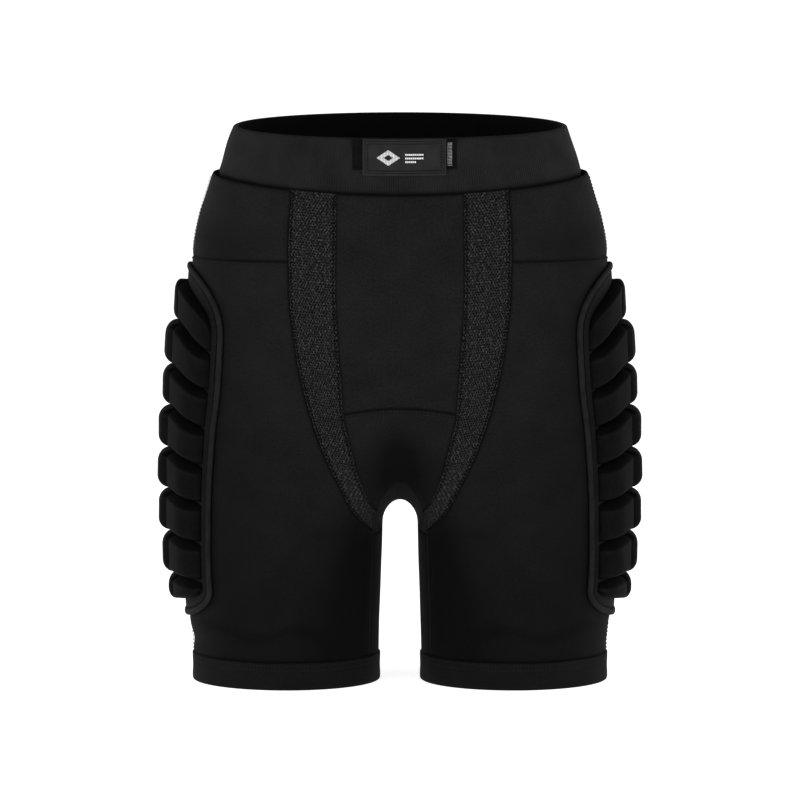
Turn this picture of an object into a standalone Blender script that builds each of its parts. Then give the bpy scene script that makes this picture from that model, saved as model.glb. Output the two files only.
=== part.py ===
"""Padded impact shorts standing on their two hems.

Every length is in millimetres until mesh_object() writes it in metres. +Z is up, the
wearer faces -Y, and the wearer's left is +X. The cloth follows one surface: an oval trunk
that turns into two oval legs. Each panel is a thin shell cut from that surface, and each
pad is built up from it.
"""

import math

import bmesh
import bpy
import numpy as np
from mathutils import Vector

MM = 0.001

# Driving dimensions of the body surface
RIM_HEIGHT = 460.0
SEAM_FRONT = 414.0
SEAM_SIDE = 421.0
RIM_HALF_WIDTH = 137.5
RIM_HALF_DEPTH = 95.0
BAND_FOOT_HALF_WIDTH = 149.0
BAND_FOOT_HALF_DEPTH = 102.5
CROTCH_HEIGHT = 150.0
CLEFT_TOP = 176.0
CLEFT_FOOT = 122.0
CROTCH_ROUND = 20.0
LEG_GAP_HALF = 17.5
LEG_GAP_CLOSE = 3.5
LEG_GAP_RANGE = (20.0, 150.0)
LEG_TURN = math.radians(155.0)
ARCH_FADE = 0.12
FLANK_FADE = 0.25
FLANK_BELOW = 40.0
FLANK_ABOVE = 80.0
HEM_HEIGHT = 23.0
YOKE_SEAM_SIDE = 352.0
YOKE_SEAM_INNER = 358.0
ARCH_SEAM_CENTRE = 238.0
ARCH_SEAM_EDGE = 232.5
INSERT_TOP_INNER = 0.12
INSERT_TOP_OUTER = 0.22
DEPTH_SHIFT = -10.6

# Outline of the trunk and legs: height, then half width or half depth
WIDTH_AT = [(0, 170.2), (30, 170.4), (52, 173.5), (120, 175.5), (250, 175.5), (330, 172.0),
            (360, 170.6), (385, 166.0), (400, 161.5), (421, 155.0)]
FRONT_AT = [(0, 80), (60, 84), (120, 91), (176, 102), (230, 110), (300, 113), (360, 111), (421, 106)]
BACK_AT = [(0, 80), (60, 84), (120, 93), (176, 106), (240, 114), (300, 115), (360, 112), (421, 107)]

# Seams of the front, as distance from the centre line at each height
MESH_INNER_AT = [(144.0, 14.6), (150.4, 20.4), (161.3, 27.0), (175.3, 32.8), (193.2, 37.7), (210.5, 41.9),
                 (227.5, 46.0), (270.0, 49.3), (304.0, 51.8), (340.0, 53.4), (416.0, 52.6)]
MESH_OUTER_AT = [(125.0, 16.3), (130.0, 24.5), (140.4, 32.8), (152.0, 41.0), (166.0, 47.7), (195.2, 61.7),
                 (235.8, 75.7), (270.0, 84.0), (295.0, 88.0), (328.7, 91.4), (370.0, 92.3), (412.0, 89.8)]
SEAT_SEAM_AT = [(144.0, 18.0), (151.0, 25.0), (175.0, 38.0), (210.0, 54.0), (260.0, 68.0), (310.0, 75.0),
                (356.0, 77.0)]

# Cloth and foam thicknesses
CLOTH = 1.6
BODY_CLEAR = 0.2
CORNER_CLEAR = 0.8
BAND_CLOTH = 1.2
BAND_ELASTIC = 1.4
FOLD_ROUND = 1.0
FIT_GAP = 0.3
HEM_CLOTH = 2.6
HEM_PROUD = 1.0
PAD_LIFT = 1.0
BACKING = 2.0
BACKING_CLEAR = 1.6
PIPING_RADIUS = 2.6

# Hip pads: rows of foam between these heights on the side line, and the fall of each groove
HIP_GROOVES = [298.0, 262.0, 228.0, 193.0, 159.0, 124.0, 89.5]
HIP_GROOVE_FALL = [21.0, 17.0, 14.0, 10.5, 7.5, 5.5, 2.0]
HIP_TOP = 346.0
HIP_BOTTOM = 54.0
HIP_SHOULDER = 290.0
HIP_HEEL = 82.0
HIP_HALF_WIDTH = 64.0
HIP_TAPER = 4.5
HIP_FOAM_CENTRE = [9.5, 15.3, 16.5, 19.8, 20.6, 19.8, 16.8, 12.6]
HIP_FOAM_FLANK = [8.0, 12.0, 13.5, 14.5, 15.0, 15.0, 13.0, 10.0]
HIP_COLUMN_HALF = 17.5

# Seat pad over the tailbone
SEAT_GROOVES = [316.0, 284.0, 252.0]
SEAT_GROOVE_FALL = [8.0, 10.0, 10.0]
SEAT_TOP = 346.0
SEAT_BOTTOM = 192.0
SEAT_SHOULDER = 322.0
SEAT_HEEL = 230.0
SEAT_HALF_WIDTH = 66.0
SEAT_TAPER = 0.0
SEAT_FOAM_CENTRE = [13.0, 15.0, 15.0, 12.0]
SEAT_FOAM_FLANK = [11.0, 13.0, 13.0, 10.0]
SEAT_COLUMN_HALF = 19.0

PAD_MARGIN = 10.0
HIP_END_MARGIN = 14.0
SEAT_END_MARGIN = 10.0
PAD_CORNER = 2.2
TAPER_RANGE = 90.0
CROWN_FALL = 0.8
SOLE_RISE = 0.75
FOAM_STOPS = [-1.0, -0.8, 0.0, 0.8, 1.0]
FOAM_WEB = 0.5
FOAM_CLEAR = 1.2
GROOVE_HALF = 1.6

# Waist closure on the front of the band
STRIP_LEFT = -39.4
STRIP_RIGHT = 46.5
STRIP_HEIGHT = 27.0
TAB_LEFT = -30.3
TAB_RIGHT = 37.4
TAB_HEIGHT = 31.5
RIM_SHARE = 0.985
HOOK_MARGIN = 7.0
HOOK_END = 2.0
HOOK_INSET = 4.0
TAB_CLOTH = 1.4
STRIP_CLOTH = 1.2
HOOK_CLOTH = 0.8
MARK_RADIUS = 6.5
MARK_STRETCH = 1.6
MARK_CLOTH = 0.5


def clear_scene():
    for old in list(bpy.data.objects):
        bpy.data.objects.remove(old, do_unlink=True)


def material(name, colour, roughness, metallic=0.0):
    made = bpy.data.materials.get(name) or bpy.data.materials.new(name)
    made.use_nodes = True
    shader = made.node_tree.nodes["Principled BSDF"]
    shader.inputs["Base Color"].default_value = (*colour, 1.0)
    shader.inputs["Roughness"].default_value = roughness
    shader.inputs["Metallic"].default_value = metallic
    made.diffuse_color = (*colour, 1.0)
    return made


def palette():
    return {
        "knit": material("knit", (0.018, 0.018, 0.019), 0.85),
        "band_knit": material("band_knit", (0.024, 0.024, 0.025), 0.8),
        "open_mesh": material("open_mesh", (0.03, 0.03, 0.031), 0.75),
        "pad_cover": material("pad_cover", (0.016, 0.016, 0.017), 0.6),
        "piping": material("piping", (0.02, 0.02, 0.021), 0.6),
        "elastic": material("elastic", (0.05, 0.05, 0.05), 0.9),
        "label_cloth": material("label_cloth", (0.045, 0.045, 0.047), 0.6),
        "hook_tape": material("hook_tape", (0.03, 0.03, 0.03), 0.4),
        "mark": material("mark", (0.8, 0.8, 0.8), 0.7),
    }


# ---------------------------------------------------------------- curves and the body surface


def along(points, where):
    """The value at one place on a smooth monotone curve through (place, value) points."""
    places = [p[0] for p in points]
    values = [p[1] for p in points]
    where = min(max(where, places[0]), places[-1])
    i = min(int(np.searchsorted(places, where, side="right")) - 1, len(places) - 2)

    def slope(k):
        if k == 0:
            return (values[1] - values[0]) / (places[1] - places[0])
        if k == len(places) - 1:
            return (values[-1] - values[-2]) / (places[-1] - places[-2])
        before = (values[k] - values[k - 1]) / (places[k] - places[k - 1])
        after = (values[k + 1] - values[k]) / (places[k + 1] - places[k])
        return 0.0 if before * after <= 0 else 2 * before * after / (before + after)

    step = places[i + 1] - places[i]
    t = (where - places[i]) / step
    rise = values[i + 1] - values[i]
    return (values[i] + rise * t * t * (3 - 2 * t)
            + step * t * (1 - t) * (slope(i) * (1 - t) - slope(i + 1) * t))


def smooth(t):
    t = min(max(t, 0.0), 1.0)
    return t * t * (3 - 2 * t)


def seam_height(side):
    """Height of the waist seam: lowest at the centre front and back, highest at the sides."""
    return SEAM_FRONT + (SEAM_SIDE - SEAM_FRONT) * math.sin(math.pi * side) ** 2


def leg_point(height, angle):
    """A point on the left leg: angle 0 is its outer side, -90 degrees its front."""
    outer = along(WIDTH_AT, height)
    low, high = LEG_GAP_RANGE
    gap = LEG_GAP_HALF - LEG_GAP_CLOSE * smooth((height - low) / (high - low))
    centre = (outer + gap) / 2
    depth = along(FRONT_AT if math.sin(angle) < 0 else BACK_AT, height)
    return np.array([centre + (outer - gap) / 2 * math.cos(angle), depth * math.sin(angle), height])


def trunk_point(height, side):
    turn = math.pi * (side - 0.5)
    depth = along(FRONT_AT if side < 0.5 else BACK_AT, height)
    return np.array([along(WIDTH_AT, height) * math.cos(turn), depth * math.sin(turn), height])


def outer_point(side, height):
    """The cloth surface from the centre front, side 0, round the hip to the centre back, side 1."""
    t = (height - CLEFT_FOOT) / (CLEFT_TOP - CLEFT_FOOT)
    flank = smooth(min(side, 1 - side) / FLANK_FADE)
    foot = CLEFT_FOOT - FLANK_BELOW * flank
    share = smooth((height - foot) / (CLEFT_TOP + FLANK_ABOVE * flank - foot))
    leg = leg_point(height, LEG_TURN * (2 * side - 1))
    trunk = trunk_point(height, side)
    point = leg * (1 - share) + trunk * share
    near = max(0.0, 1 - min(side, 1 - side) / ARCH_FADE) ** 2
    point[0] += (arch(t) - smooth(t)) * near * (trunk[0] - leg[0])
    return point


def arch(t):
    """How far a leg's inner edge has closed in at share t of the arch's height."""
    t = min(max(t, 0.0), 1.0)
    return 1 - math.sqrt(1 - t * t)


def inner_point(across, rise):
    """The inside of the left leg, from its front edge, across 0, to its back edge, across 1.

    rise 0 is the hem seam and rise 1 the crotch line, where the two legs meet at X = 0.
    """
    middle = 4 * across * (1 - across)
    top = CLEFT_TOP + (CROTCH_HEIGHT - CLEFT_TOP) * middle
    foot = CLEFT_FOOT + (CROTCH_HEIGHT - CROTCH_ROUND - CLEFT_FOOT) * middle
    height = HEM_HEIGHT + (top - HEM_HEIGHT) * rise
    t = min(max((height - foot) / (top - foot), 0.0), 1.0)
    gentle = smooth(t)
    angle = -LEG_TURN - (2 * math.pi - 2 * LEG_TURN) * across
    leg = leg_point(height, angle)
    front = -along(FRONT_AT, height)
    back = along(BACK_AT, height)
    under = front + (back - front) * across
    return np.array([leg[0] * (1 - arch(t)), leg[1] * (1 - gentle) + under * gentle, height])


def facing(surface, u, v, flip=1.0):
    """The unit normal of a surface(u, v), from its two tangents."""
    step = 1e-3
    rise = step * v_scale(surface)
    across = surface(min(u + step, 1.0), v) - surface(max(u - step, 0.0), v)
    up = surface(u, v + rise) - surface(u, v - rise)
    normal = np.cross(across, up) * flip
    return normal / np.linalg.norm(normal)


def v_scale(surface):
    """The second coordinate is a height in millimetres on the outer surface, a share on the inner."""
    return 500.0 if surface is outer_point else 1.0


def outer_normal(side, height):
    if side < 1e-6 or side > 1 - 1e-6:
        return edge_normal(0.0 if side < 0.5 else 1.0, height)
    return facing(outer_point, side, height)


def inner_rise(across, height):
    middle = 4 * across * (1 - across)
    top = CLEFT_TOP + (CROTCH_HEIGHT - CLEFT_TOP) * middle
    return (height - HEM_HEIGHT) / (top - HEM_HEIGHT)


def edge_normal(end, height):
    """The shared normal where the outer and the inner surface meet, at end 0 front or 1 back."""
    normal = facing(outer_point, end, height)
    if height < CLEFT_TOP + 1e-6:
        rise = min(inner_rise(end, height), 1 - 2e-3)
        normal = normal + facing(inner_point, end, rise, -1.0)
    if height > CLEFT_TOP - 1e-6:
        normal[0] = 0.0
    return normal / np.linalg.norm(normal)


def inner_normal(across, rise):
    if across < 1e-6 or across > 1 - 1e-6:
        return edge_normal(0.0 if across < 0.5 else 1.0, inner_point(across, rise)[2])
    normal = facing(inner_point, across, min(rise, 1 - 2e-3), -1.0)
    if rise > 1 - 1e-6:
        normal[0] = 0.0
    return normal / np.linalg.norm(normal)


def side_at(distance, height, back=False):
    """Where on the outer surface a seam lies that is this far from the centre line."""
    low, high = (0.0, 0.5)
    for _ in range(40):
        mid = (low + high) / 2
        here = outer_point(1 - mid if back else mid, height)[0]
        low, high = (mid, high) if here < distance else (low, mid)
    return 1 - low if back else low


# ---------------------------------------------------------------- mesh building


def mesh_object(name, points, faces, skin, origin=(0.0, 0.0, 0.0)):
    """A closed mesh from points in millimetres, with outward faces and smooth shading."""
    mesh = bpy.data.meshes.new(name)
    shift = np.array([0.0, DEPTH_SHIFT, 0.0])
    origin = np.array(origin)
    mesh.from_pydata([Vector((p + shift) * MM - origin) for p in points], [], faces)
    build = bmesh.new()
    build.from_mesh(mesh)
    bmesh.ops.recalc_face_normals(build, faces=build.faces)
    build.to_mesh(mesh)
    build.free()
    mesh.shade_smooth()
    mesh.set_sharp_from_angle(angle=math.radians(40))
    mesh.materials.append(skin)
    made = bpy.data.objects.new(name, mesh)
    made.location = Vector(origin)
    bpy.context.scene.collection.objects.link(made)
    return made


def inset(grid, clear):
    """Pulls a grid's border in, so that neighbouring pieces keep a gap."""
    moved = grid.copy()
    ends = [(0, 1), (-1, -2)]
    for end, near in ends:
        reach = grid[near] - grid[end]
        moved[end] += reach / np.linalg.norm(reach, axis=1, keepdims=True) * clear
        reach = grid[:, near] - grid[:, end]
        moved[:, end] += reach / np.linalg.norm(reach, axis=1, keepdims=True) * clear
    return moved


def slab(name, top, bottom, skin, wrap=False, origin=(0.0, 0.0, 0.0)):
    """A solid between two grids of points. With wrap its columns close into a ring."""
    rows, columns = top.shape[:2]
    points = list(top.reshape(-1, 3)) + list(bottom.reshape(-1, 3))
    half = rows * columns
    faces = []
    last = columns if wrap else columns - 1
    for r in range(rows - 1):
        for c in range(last):
            a = r * columns + c
            b = r * columns + (c + 1) % columns
            faces.append((a, b, b + columns, a + columns))
            faces.append((half + a, half + a + columns, half + b + columns, half + b))
    for c in range(last):
        for r in (0, rows - 1):
            a = r * columns + c
            b = r * columns + (c + 1) % columns
            faces.append((a, b, half + b, half + a))
    if not wrap:
        for r in range(rows - 1):
            for c in (0, columns - 1):
                a = r * columns + c
                faces.append((a, a + columns, half + a + columns, half + a))
    return mesh_object(name, points, faces, skin, origin)


def mirrored(grid):
    return grid * np.array([-1.0, 1.0, 1.0])


def outer_grid(places):
    """Points and normals of a grid of (side, height) places. A negative side is the right half."""
    points = []
    normals = []
    for row in places:
        line = []
        faces = []
        for side, height in row:
            flip = np.array([-1.0 if side < 0 else 1.0, 1.0, 1.0])
            line.append(outer_point(abs(side), height) * flip)
            faces.append(outer_normal(abs(side), height) * flip)
        points.append(line)
        normals.append(faces)
    return np.array(points), np.array(normals)


def panel(name, points, normals, skin, clear=BODY_CLEAR):
    border = inset(points, clear)
    return slab(name, border, border - normals * CLOTH, skin)


def panel_pair(stem, places, skin):
    points, normals = outer_grid(places)
    panel(stem + "_left", points, normals, skin)
    panel(stem + "_right", mirrored(points), mirrored(normals), skin)


# ---------------------------------------------------------------- cloth panels

YOKE_ROWS = 3
LEG_ROWS = 12
LOW_ROWS = 4
CENTRE_ROWS = 8
INSERT_STEPS = 3
GUSSET_STEPS = 4
SIDE_STEPS = 7


def inner_edge_heights():
    """Heights of the seam points down the inner leg edge, where every panel there meets."""
    insert = np.linspace(MESH_INNER_AT[0][0], MESH_OUTER_AT[0][0], INSERT_STEPS + 1)
    low = np.linspace(MESH_OUTER_AT[0][0], HEM_HEIGHT, LOW_ROWS + 1)[1:]
    return list(insert) + list(low)


def mesh_inner_edge():
    """Places down the inner edge of the open-mesh insert: waist seam to arch seam to crotch."""
    top = seam_height(INSERT_TOP_INNER)
    heights = list(np.linspace(top, ARCH_SEAM_EDGE, CENTRE_ROWS + 1))
    low_rows = YOKE_ROWS + LEG_ROWS - CENTRE_ROWS
    heights += list(np.linspace(ARCH_SEAM_EDGE, MESH_INNER_AT[0][0], low_rows + 1))[1:]
    edge = [(side_at(along(MESH_INNER_AT, h), h), h) for h in heights]
    edge[-1] = (0.0, MESH_INNER_AT[0][0])
    return edge


def mesh_outer_edge():
    """Places down the outer edge of the insert: waist seam to yoke seam to the inner leg."""
    top = seam_height(INSERT_TOP_OUTER)
    heights = list(np.linspace(top, YOKE_SEAM_INNER, YOKE_ROWS + 1))
    heights += list(np.linspace(YOKE_SEAM_INNER, MESH_OUTER_AT[0][0], LEG_ROWS + 1))[1:]
    edge = [(side_at(along(MESH_OUTER_AT, h), h), h) for h in heights]
    edge[-1] = (0.0, MESH_OUTER_AT[0][0])
    return edge


def seat_edge():
    """Places down the seat panel's seam: yoke seam to the inner leg, on the back."""
    heights = np.linspace(YOKE_SEAM_SIDE, SEAT_SEAM_AT[0][0], LEG_ROWS + 1)
    edge = [(side_at(along(SEAT_SEAM_AT, h), h, back=True), h) for h in heights]
    edge[-1] = (1.0, SEAT_SEAM_AT[0][0])
    return edge


def between(start, end, steps):
    return [(start[0] + (end[0] - start[0]) * t, start[1] + (end[1] - start[1]) * t)
            for t in np.linspace(0.0, 1.0, steps + 1)]


def bowed_row(edge, centre_height, steps):
    """A row across the centre line from edge to edge, bowed to centre_height at the middle."""
    side, height = edge
    row = []
    for x in np.linspace(-1.0, 1.0, 2 * steps + 1):
        here = height + (centre_height - height) * (1 - x * x)
        row.append((math.copysign(max(side * abs(x), 1e-9), x), here))
    return row


def front_centre(skins):
    edge = mesh_inner_edge()[: CENTRE_ROWS + 1]
    centres = np.linspace(seam_height(0.0), ARCH_SEAM_CENTRE, CENTRE_ROWS + 1)
    points, normals = outer_grid([bowed_row(e, c, 3) for e, c in zip(edge, centres)])
    panel("front_centre_panel", points, normals, skins["knit"])


def front_gusset(skins):
    edge = mesh_inner_edge()[CENTRE_ROWS:]
    centres = np.linspace(ARCH_SEAM_CENTRE, CLEFT_TOP, len(edge))
    points, normals = outer_grid([bowed_row(e, c, GUSSET_STEPS) for e, c in zip(edge, centres)])
    panel("front_gusset", points, normals, skins["knit"])


def mesh_inserts(skins):
    pairs = zip(mesh_inner_edge(), mesh_outer_edge())
    panel_pair("mesh_insert", [between(i, o, INSERT_STEPS) for i, o in pairs], skins["open_mesh"])


def front_yokes(skins):
    edge = mesh_outer_edge()[: YOKE_ROWS + 1]
    side = np.linspace(SEAM_SIDE, YOKE_SEAM_SIDE, YOKE_ROWS + 1)
    panel_pair("front_yoke", [yoke_row(e, h) for e, h in zip(edge, side)], skins["knit"])


def yoke_row(edge, side_height):
    """A row round the hip to the side line. At the waist it keeps to the curved seam."""
    row = between(edge, (0.5, side_height), SIDE_STEPS)
    if side_height == SEAM_SIDE:
        row = [(s, seam_height(s)) for s, _ in row]
    return row


def leg_rows(edge, end):
    """Rows from a centre seam, then the inner leg edge, out to the side line."""
    inner = edge + [(end, h) for h in inner_edge_heights() if h < edge[-1][1] - FIT_GAP]
    side = np.linspace(YOKE_SEAM_SIDE, HEM_HEIGHT, len(inner))
    return [between(e, (0.5, h), SIDE_STEPS) for e, h in zip(inner, side)]


def leg_panels(skins):
    panel_pair("front_leg_panel", leg_rows(mesh_outer_edge()[YOKE_ROWS:], 0.0), skins["knit"])
    panel_pair("rear_leg_panel", leg_rows(seat_edge(), 1.0), skins["knit"])


def rear_yoke(skins):
    rows = []
    for share in np.linspace(0.0, 1.0, YOKE_ROWS + 1):
        row = []
        for x in np.linspace(-1.0, 1.0, 13):
            side = math.copysign(1 - 0.5 * abs(x), x) if x else 1.0
            top = seam_height(abs(side))
            row.append((side, top + (YOKE_SEAM_SIDE - top) * share))
        rows.append(row)
    points, normals = outer_grid(rows)
    panel("rear_yoke", points, normals, skins["knit"])


def seat_panel(skins):
    edge = [(1 - s, h) for s, h in seat_edge()]
    centres = np.linspace(YOKE_SEAM_SIDE, CLEFT_TOP, len(edge))
    rows = [bowed_row(e, c, GUSSET_STEPS) for e, c in zip(edge, centres)]
    flipped = [[(math.copysign(1 - abs(s), s), h) for s, h in row] for row in rows]
    points, normals = outer_grid(flipped)
    panel("seat_panel", points, normals, skins["knit"])


def inner_grid(rises, columns):
    points = []
    normals = []
    for rise in rises:
        across = np.linspace(0.0, 1.0, columns + 1)
        points.append([inner_point(a, rise) for a in across])
        normals.append([inner_normal(a, rise) for a in across])
    return np.array(points), np.array(normals)


def edge_rise(height):
    """The rise on the inner surface whose front and back ends lie at this height."""
    return (height - HEM_HEIGHT) / (CLEFT_TOP - HEM_HEIGHT)


def inner_legs(skins):
    points, normals = inner_grid([edge_rise(h) for h in inner_edge_heights()[::-1]], 6)
    panel("inner_leg_panel_left", points, normals, skins["knit"])
    panel("inner_leg_panel_right", mirrored(points), mirrored(normals), skins["knit"])


def crotch_gusset(skins):
    """One strip from the left inner leg, over the crotch line, to the right inner leg."""
    foot = MESH_INNER_AT[0][0]
    spread = np.linspace(1.0, 0.0, GUSSET_STEPS + 1)
    heights = [foot + (CLEFT_TOP - foot) * (1 - x * x) for x in spread]
    points, normals = inner_grid([edge_rise(h) for h in heights], 6)
    points = np.concatenate([points, mirrored(points[-2::-1])])
    normals = np.concatenate([normals, mirrored(normals[-2::-1])])
    panel("crotch_gusset", points, normals, skins["knit"], CORNER_CLEAR)


def hem_bands(skins):
    turns = np.linspace(0.0, 2 * math.pi, 41)[:-1]
    rows = [0.0, 0.5, 1.0]
    outer = []
    inner = []
    for share in rows:
        height = (HEM_HEIGHT - FIT_GAP) * share
        ring = np.array([leg_point(height, a) for a in turns])
        out = ring - ring.mean(axis=0)
        out[:, 2] = 0.0
        out /= np.linalg.norm(out, axis=1, keepdims=True)
        outer.append(ring + out * HEM_PROUD)
        inner.append(ring + out * (HEM_PROUD - HEM_CLOTH))
    outer = np.array(outer)
    inner = np.array(inner)
    slab("hem_band_left", outer, inner, skins["knit"], wrap=True)
    slab("hem_band_right", mirrored(outer), mirrored(inner), skins["knit"], wrap=True)


# ---------------------------------------------------------------- waistband and its closure


def band_point(turn, share, inward=0.0):
    """On the band's outer face: turn 0 is the left side, share 0 the waist seam, share 1 the rim."""
    side = 0.5 + math.asin(math.sin(turn)) / math.pi
    foot = seam_height(side) + FIT_GAP * 2
    height = foot + (RIM_HEIGHT - foot) * share
    wide = BAND_FOOT_HALF_WIDTH + (RIM_HALF_WIDTH - BAND_FOOT_HALF_WIDTH) * share - inward
    deep = BAND_FOOT_HALF_DEPTH + (RIM_HALF_DEPTH - BAND_FOOT_HALF_DEPTH) * share - inward
    return np.array([wide * math.cos(turn), deep * math.sin(turn), height])


def ring_of(name, section, skin, steps=40):
    """Sweeps a closed section of (share, inward, lift) points round the waist."""
    points = []
    faces = []
    count = len(section)
    for k in range(steps):
        turn = 2 * math.pi * k / steps
        for share, inward, lift in section:
            points.append(band_point(turn, share, inward) + np.array([0.0, 0.0, lift]))
    for k in range(steps):
        for i in range(count):
            j = (i + 1) % count
            n = (k + 1) % steps
            faces.append((k * count + i, k * count + j, n * count + j, n * count + i))
    return mesh_object(name, points, faces, skin)


def waistband(skins):
    wall = BAND_CLOTH
    hollow = BAND_ELASTIC + 2 * FIT_GAP
    full = 2 * wall + hollow
    ceiling = -wall - 2 * FIT_GAP
    casing = [
        (0.0, 0.0, 0.0), (0.5, 0.0, 0.0), (1.0, 0.0, -FOLD_ROUND), (1.0, FOLD_ROUND, 0.0),
        (1.0, full - FOLD_ROUND, 0.0), (1.0, full, -FOLD_ROUND), (0.5, full, 0.0), (0.0, full, 0.0),
        (0.0, full - wall, 0.0), (1.0, full - wall, ceiling), (1.0, wall, ceiling), (0.0, wall, 0.0),
    ]
    ring_of("waistband_casing", casing, skins["band_knit"])
    near = wall + FIT_GAP
    far = near + BAND_ELASTIC
    drop = ceiling - FIT_GAP
    foot = 2 * FIT_GAP
    elastic = [(0.0, near, foot), (1.0, near, drop), (1.0, far, drop), (0.0, far, foot)]
    ring_of("waistband_elastic", elastic, skins["elastic"])


def front_turn(x, share):
    wide = BAND_FOOT_HALF_WIDTH + (RIM_HALF_WIDTH - BAND_FOOT_HALF_WIDTH) * share
    return -math.acos(x / wide)


def band_patch(left, right, height, low, high, columns):
    """Two grids of points on the front of the band, low and high millimetres off its face."""
    slope = math.hypot(RIM_HEIGHT - SEAM_FRONT, BAND_FOOT_HALF_DEPTH - RIM_HALF_DEPTH)
    foot_share = 1 - height / slope
    near = []
    away = []
    for share in np.linspace(foot_share, RIM_SHARE, 3):
        row = [band_point(front_turn(x, share), share) for x in np.linspace(left, right, columns + 1)]
        out = [band_out(front_turn(x, share), share) for x in np.linspace(left, right, columns + 1)]
        near.append(np.array(row) + np.array(out) * low)
        away.append(np.array(row) + np.array(out) * high)
    return np.array(near), np.array(away)


def band_out(turn, share):
    step = 1e-3
    across = band_point(turn + step, share) - band_point(turn - step, share)
    up = band_point(turn, share + step) - band_point(turn, share - step)
    normal = np.cross(across, up)
    return normal / np.linalg.norm(normal)


def tab_pivot():
    """The foot of the tab's sewn end, in metres. The tab folds about the line up from it."""
    away = band_patch(TAB_LEFT, TAB_RIGHT, TAB_HEIGHT, 0.0, tab_low() + TAB_CLOTH / 2, 2)[1]
    return (away[0][0] + np.array([0.0, DEPTH_SHIFT, 0.0])) * MM


def tab_low():
    return FIT_GAP + STRIP_CLOTH + FIT_GAP + HOOK_CLOTH + FIT_GAP


def closure(skins):
    near, away = band_patch(STRIP_LEFT, STRIP_RIGHT, STRIP_HEIGHT, FIT_GAP, FIT_GAP + STRIP_CLOTH, 8)
    slab("loop_strip", away, near, skins["hook_tape"])
    pivot = tab_pivot()
    low = FIT_GAP + STRIP_CLOTH + FIT_GAP
    left = TAB_LEFT + HOOK_MARGIN
    near, away = band_patch(left, TAB_RIGHT - HOOK_END, STRIP_HEIGHT - HOOK_INSET, low, low + HOOK_CLOTH, 6)
    slab("hook_patch", away, near, skins["hook_tape"], origin=pivot)
    near, away = band_patch(TAB_LEFT, TAB_RIGHT, TAB_HEIGHT, tab_low(), tab_low() + TAB_CLOTH, 8)
    slab("label_tab", away, near, skins["label_cloth"], origin=pivot)
    label_mark(skins, pivot, away)


def label_mark(skins, pivot, face):
    """A plain lozenge in the middle of the tab."""
    middle = face[1][len(face[1]) // 2]
    up = face[2][len(face[1]) // 2] - face[0][len(face[1]) // 2]
    up /= np.linalg.norm(up)
    across = np.array([1.0, 0.0, 0.0])
    out = np.cross(across, up)
    if out[1] > 0:
        out = -out
    points = []
    for lift in (FIT_GAP, FIT_GAP + MARK_CLOTH):
        for k in range(4):
            turn = math.pi / 2 * k
            spread = across * math.cos(turn) * MARK_STRETCH + up * math.sin(turn)
            points.append(middle + spread * MARK_RADIUS + out * lift)
    faces = [(0, 1, 2, 3), (7, 6, 5, 4)] + [(k, (k + 1) % 4, 4 + (k + 1) % 4, 4 + k) for k in range(4)]
    mesh_object("label_mark", points, faces, skins["mark"], origin=pivot)


# ---------------------------------------------------------------- pads


class HipSite:
    """The side of the left hip: across runs from front to back as depth, in millimetres."""

    def side(self, across, height):
        low, high = (0.2, 0.8)
        for _ in range(40):
            mid = (low + high) / 2
            low, high = (mid, high) if outer_point(mid, height)[1] < across else (low, mid)
        return low

    def point(self, across, height, lift):
        side = self.side(across, height)
        return outer_point(side, height) + outer_normal(side, height) * lift


class SeatSite:
    """The seat: across runs from the wearer's right to the left, in millimetres."""

    def point(self, across, height, lift):
        side = side_at(abs(across), height, back=True)
        flip = np.array([-1.0 if across < 0 else 1.0, 1.0, 1.0])
        normal = outer_normal(min(side, 1 - 1e-4), height)
        if abs(across) < 1e-3:
            normal = normal * np.array([0.0, 1.0, 1.0])
        return (outer_point(side, height) + normal * lift) * flip


class Pad:
    """The outline and foam rows of one pad, before it is laid on its site."""

    def __init__(self, stem, site, ends, half, taper, rows, column):
        top, shoulder, heel, bottom, end_margin = ends
        grooves, falls, centre, flank = rows
        self.stem = stem
        self.site = site
        self.top = top
        self.shoulder = shoulder
        self.heel = heel
        self.bottom = bottom
        self.half = half
        self.end_margin = end_margin
        self.taper = taper
        self.grooves = grooves
        self.falls = falls
        self.centre = centre
        self.flank = flank
        self.column = column

    def half_width(self, height, inside=0.0):
        """Half the pad's width at a height, for an outline drawn in by inside."""
        if height > self.shoulder:
            reach = (height - self.shoulder) / (self.top - inside - self.shoulder)
        elif height < self.heel:
            reach = (self.heel - height) / (self.heel - self.bottom - inside)
        else:
            reach = 0.0
        half = self.half - self.taper * smooth((self.shoulder - height) / TAPER_RANGE)
        return (half - inside) * max(0.0, 1 - min(reach, 1.0) ** PAD_CORNER) ** (1 / PAD_CORNER)


def hip_pad():
    ends = (HIP_TOP, HIP_SHOULDER, HIP_HEEL, HIP_BOTTOM, HIP_END_MARGIN)
    rows = (HIP_GROOVES, HIP_GROOVE_FALL, HIP_FOAM_CENTRE, HIP_FOAM_FLANK)
    return Pad("hip_pad", HipSite(), ends, HIP_HALF_WIDTH, HIP_TAPER, rows, HIP_COLUMN_HALF)


def seat_pad():
    ends = (SEAT_TOP, SEAT_SHOULDER, SEAT_HEEL, SEAT_BOTTOM, SEAT_END_MARGIN)
    rows = (SEAT_GROOVES, SEAT_GROOVE_FALL, SEAT_FOAM_CENTRE, SEAT_FOAM_FLANK)
    return Pad("seat_pad", SeatSite(), ends, SEAT_HALF_WIDTH, SEAT_TAPER, rows, SEAT_COLUMN_HALF)


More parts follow.
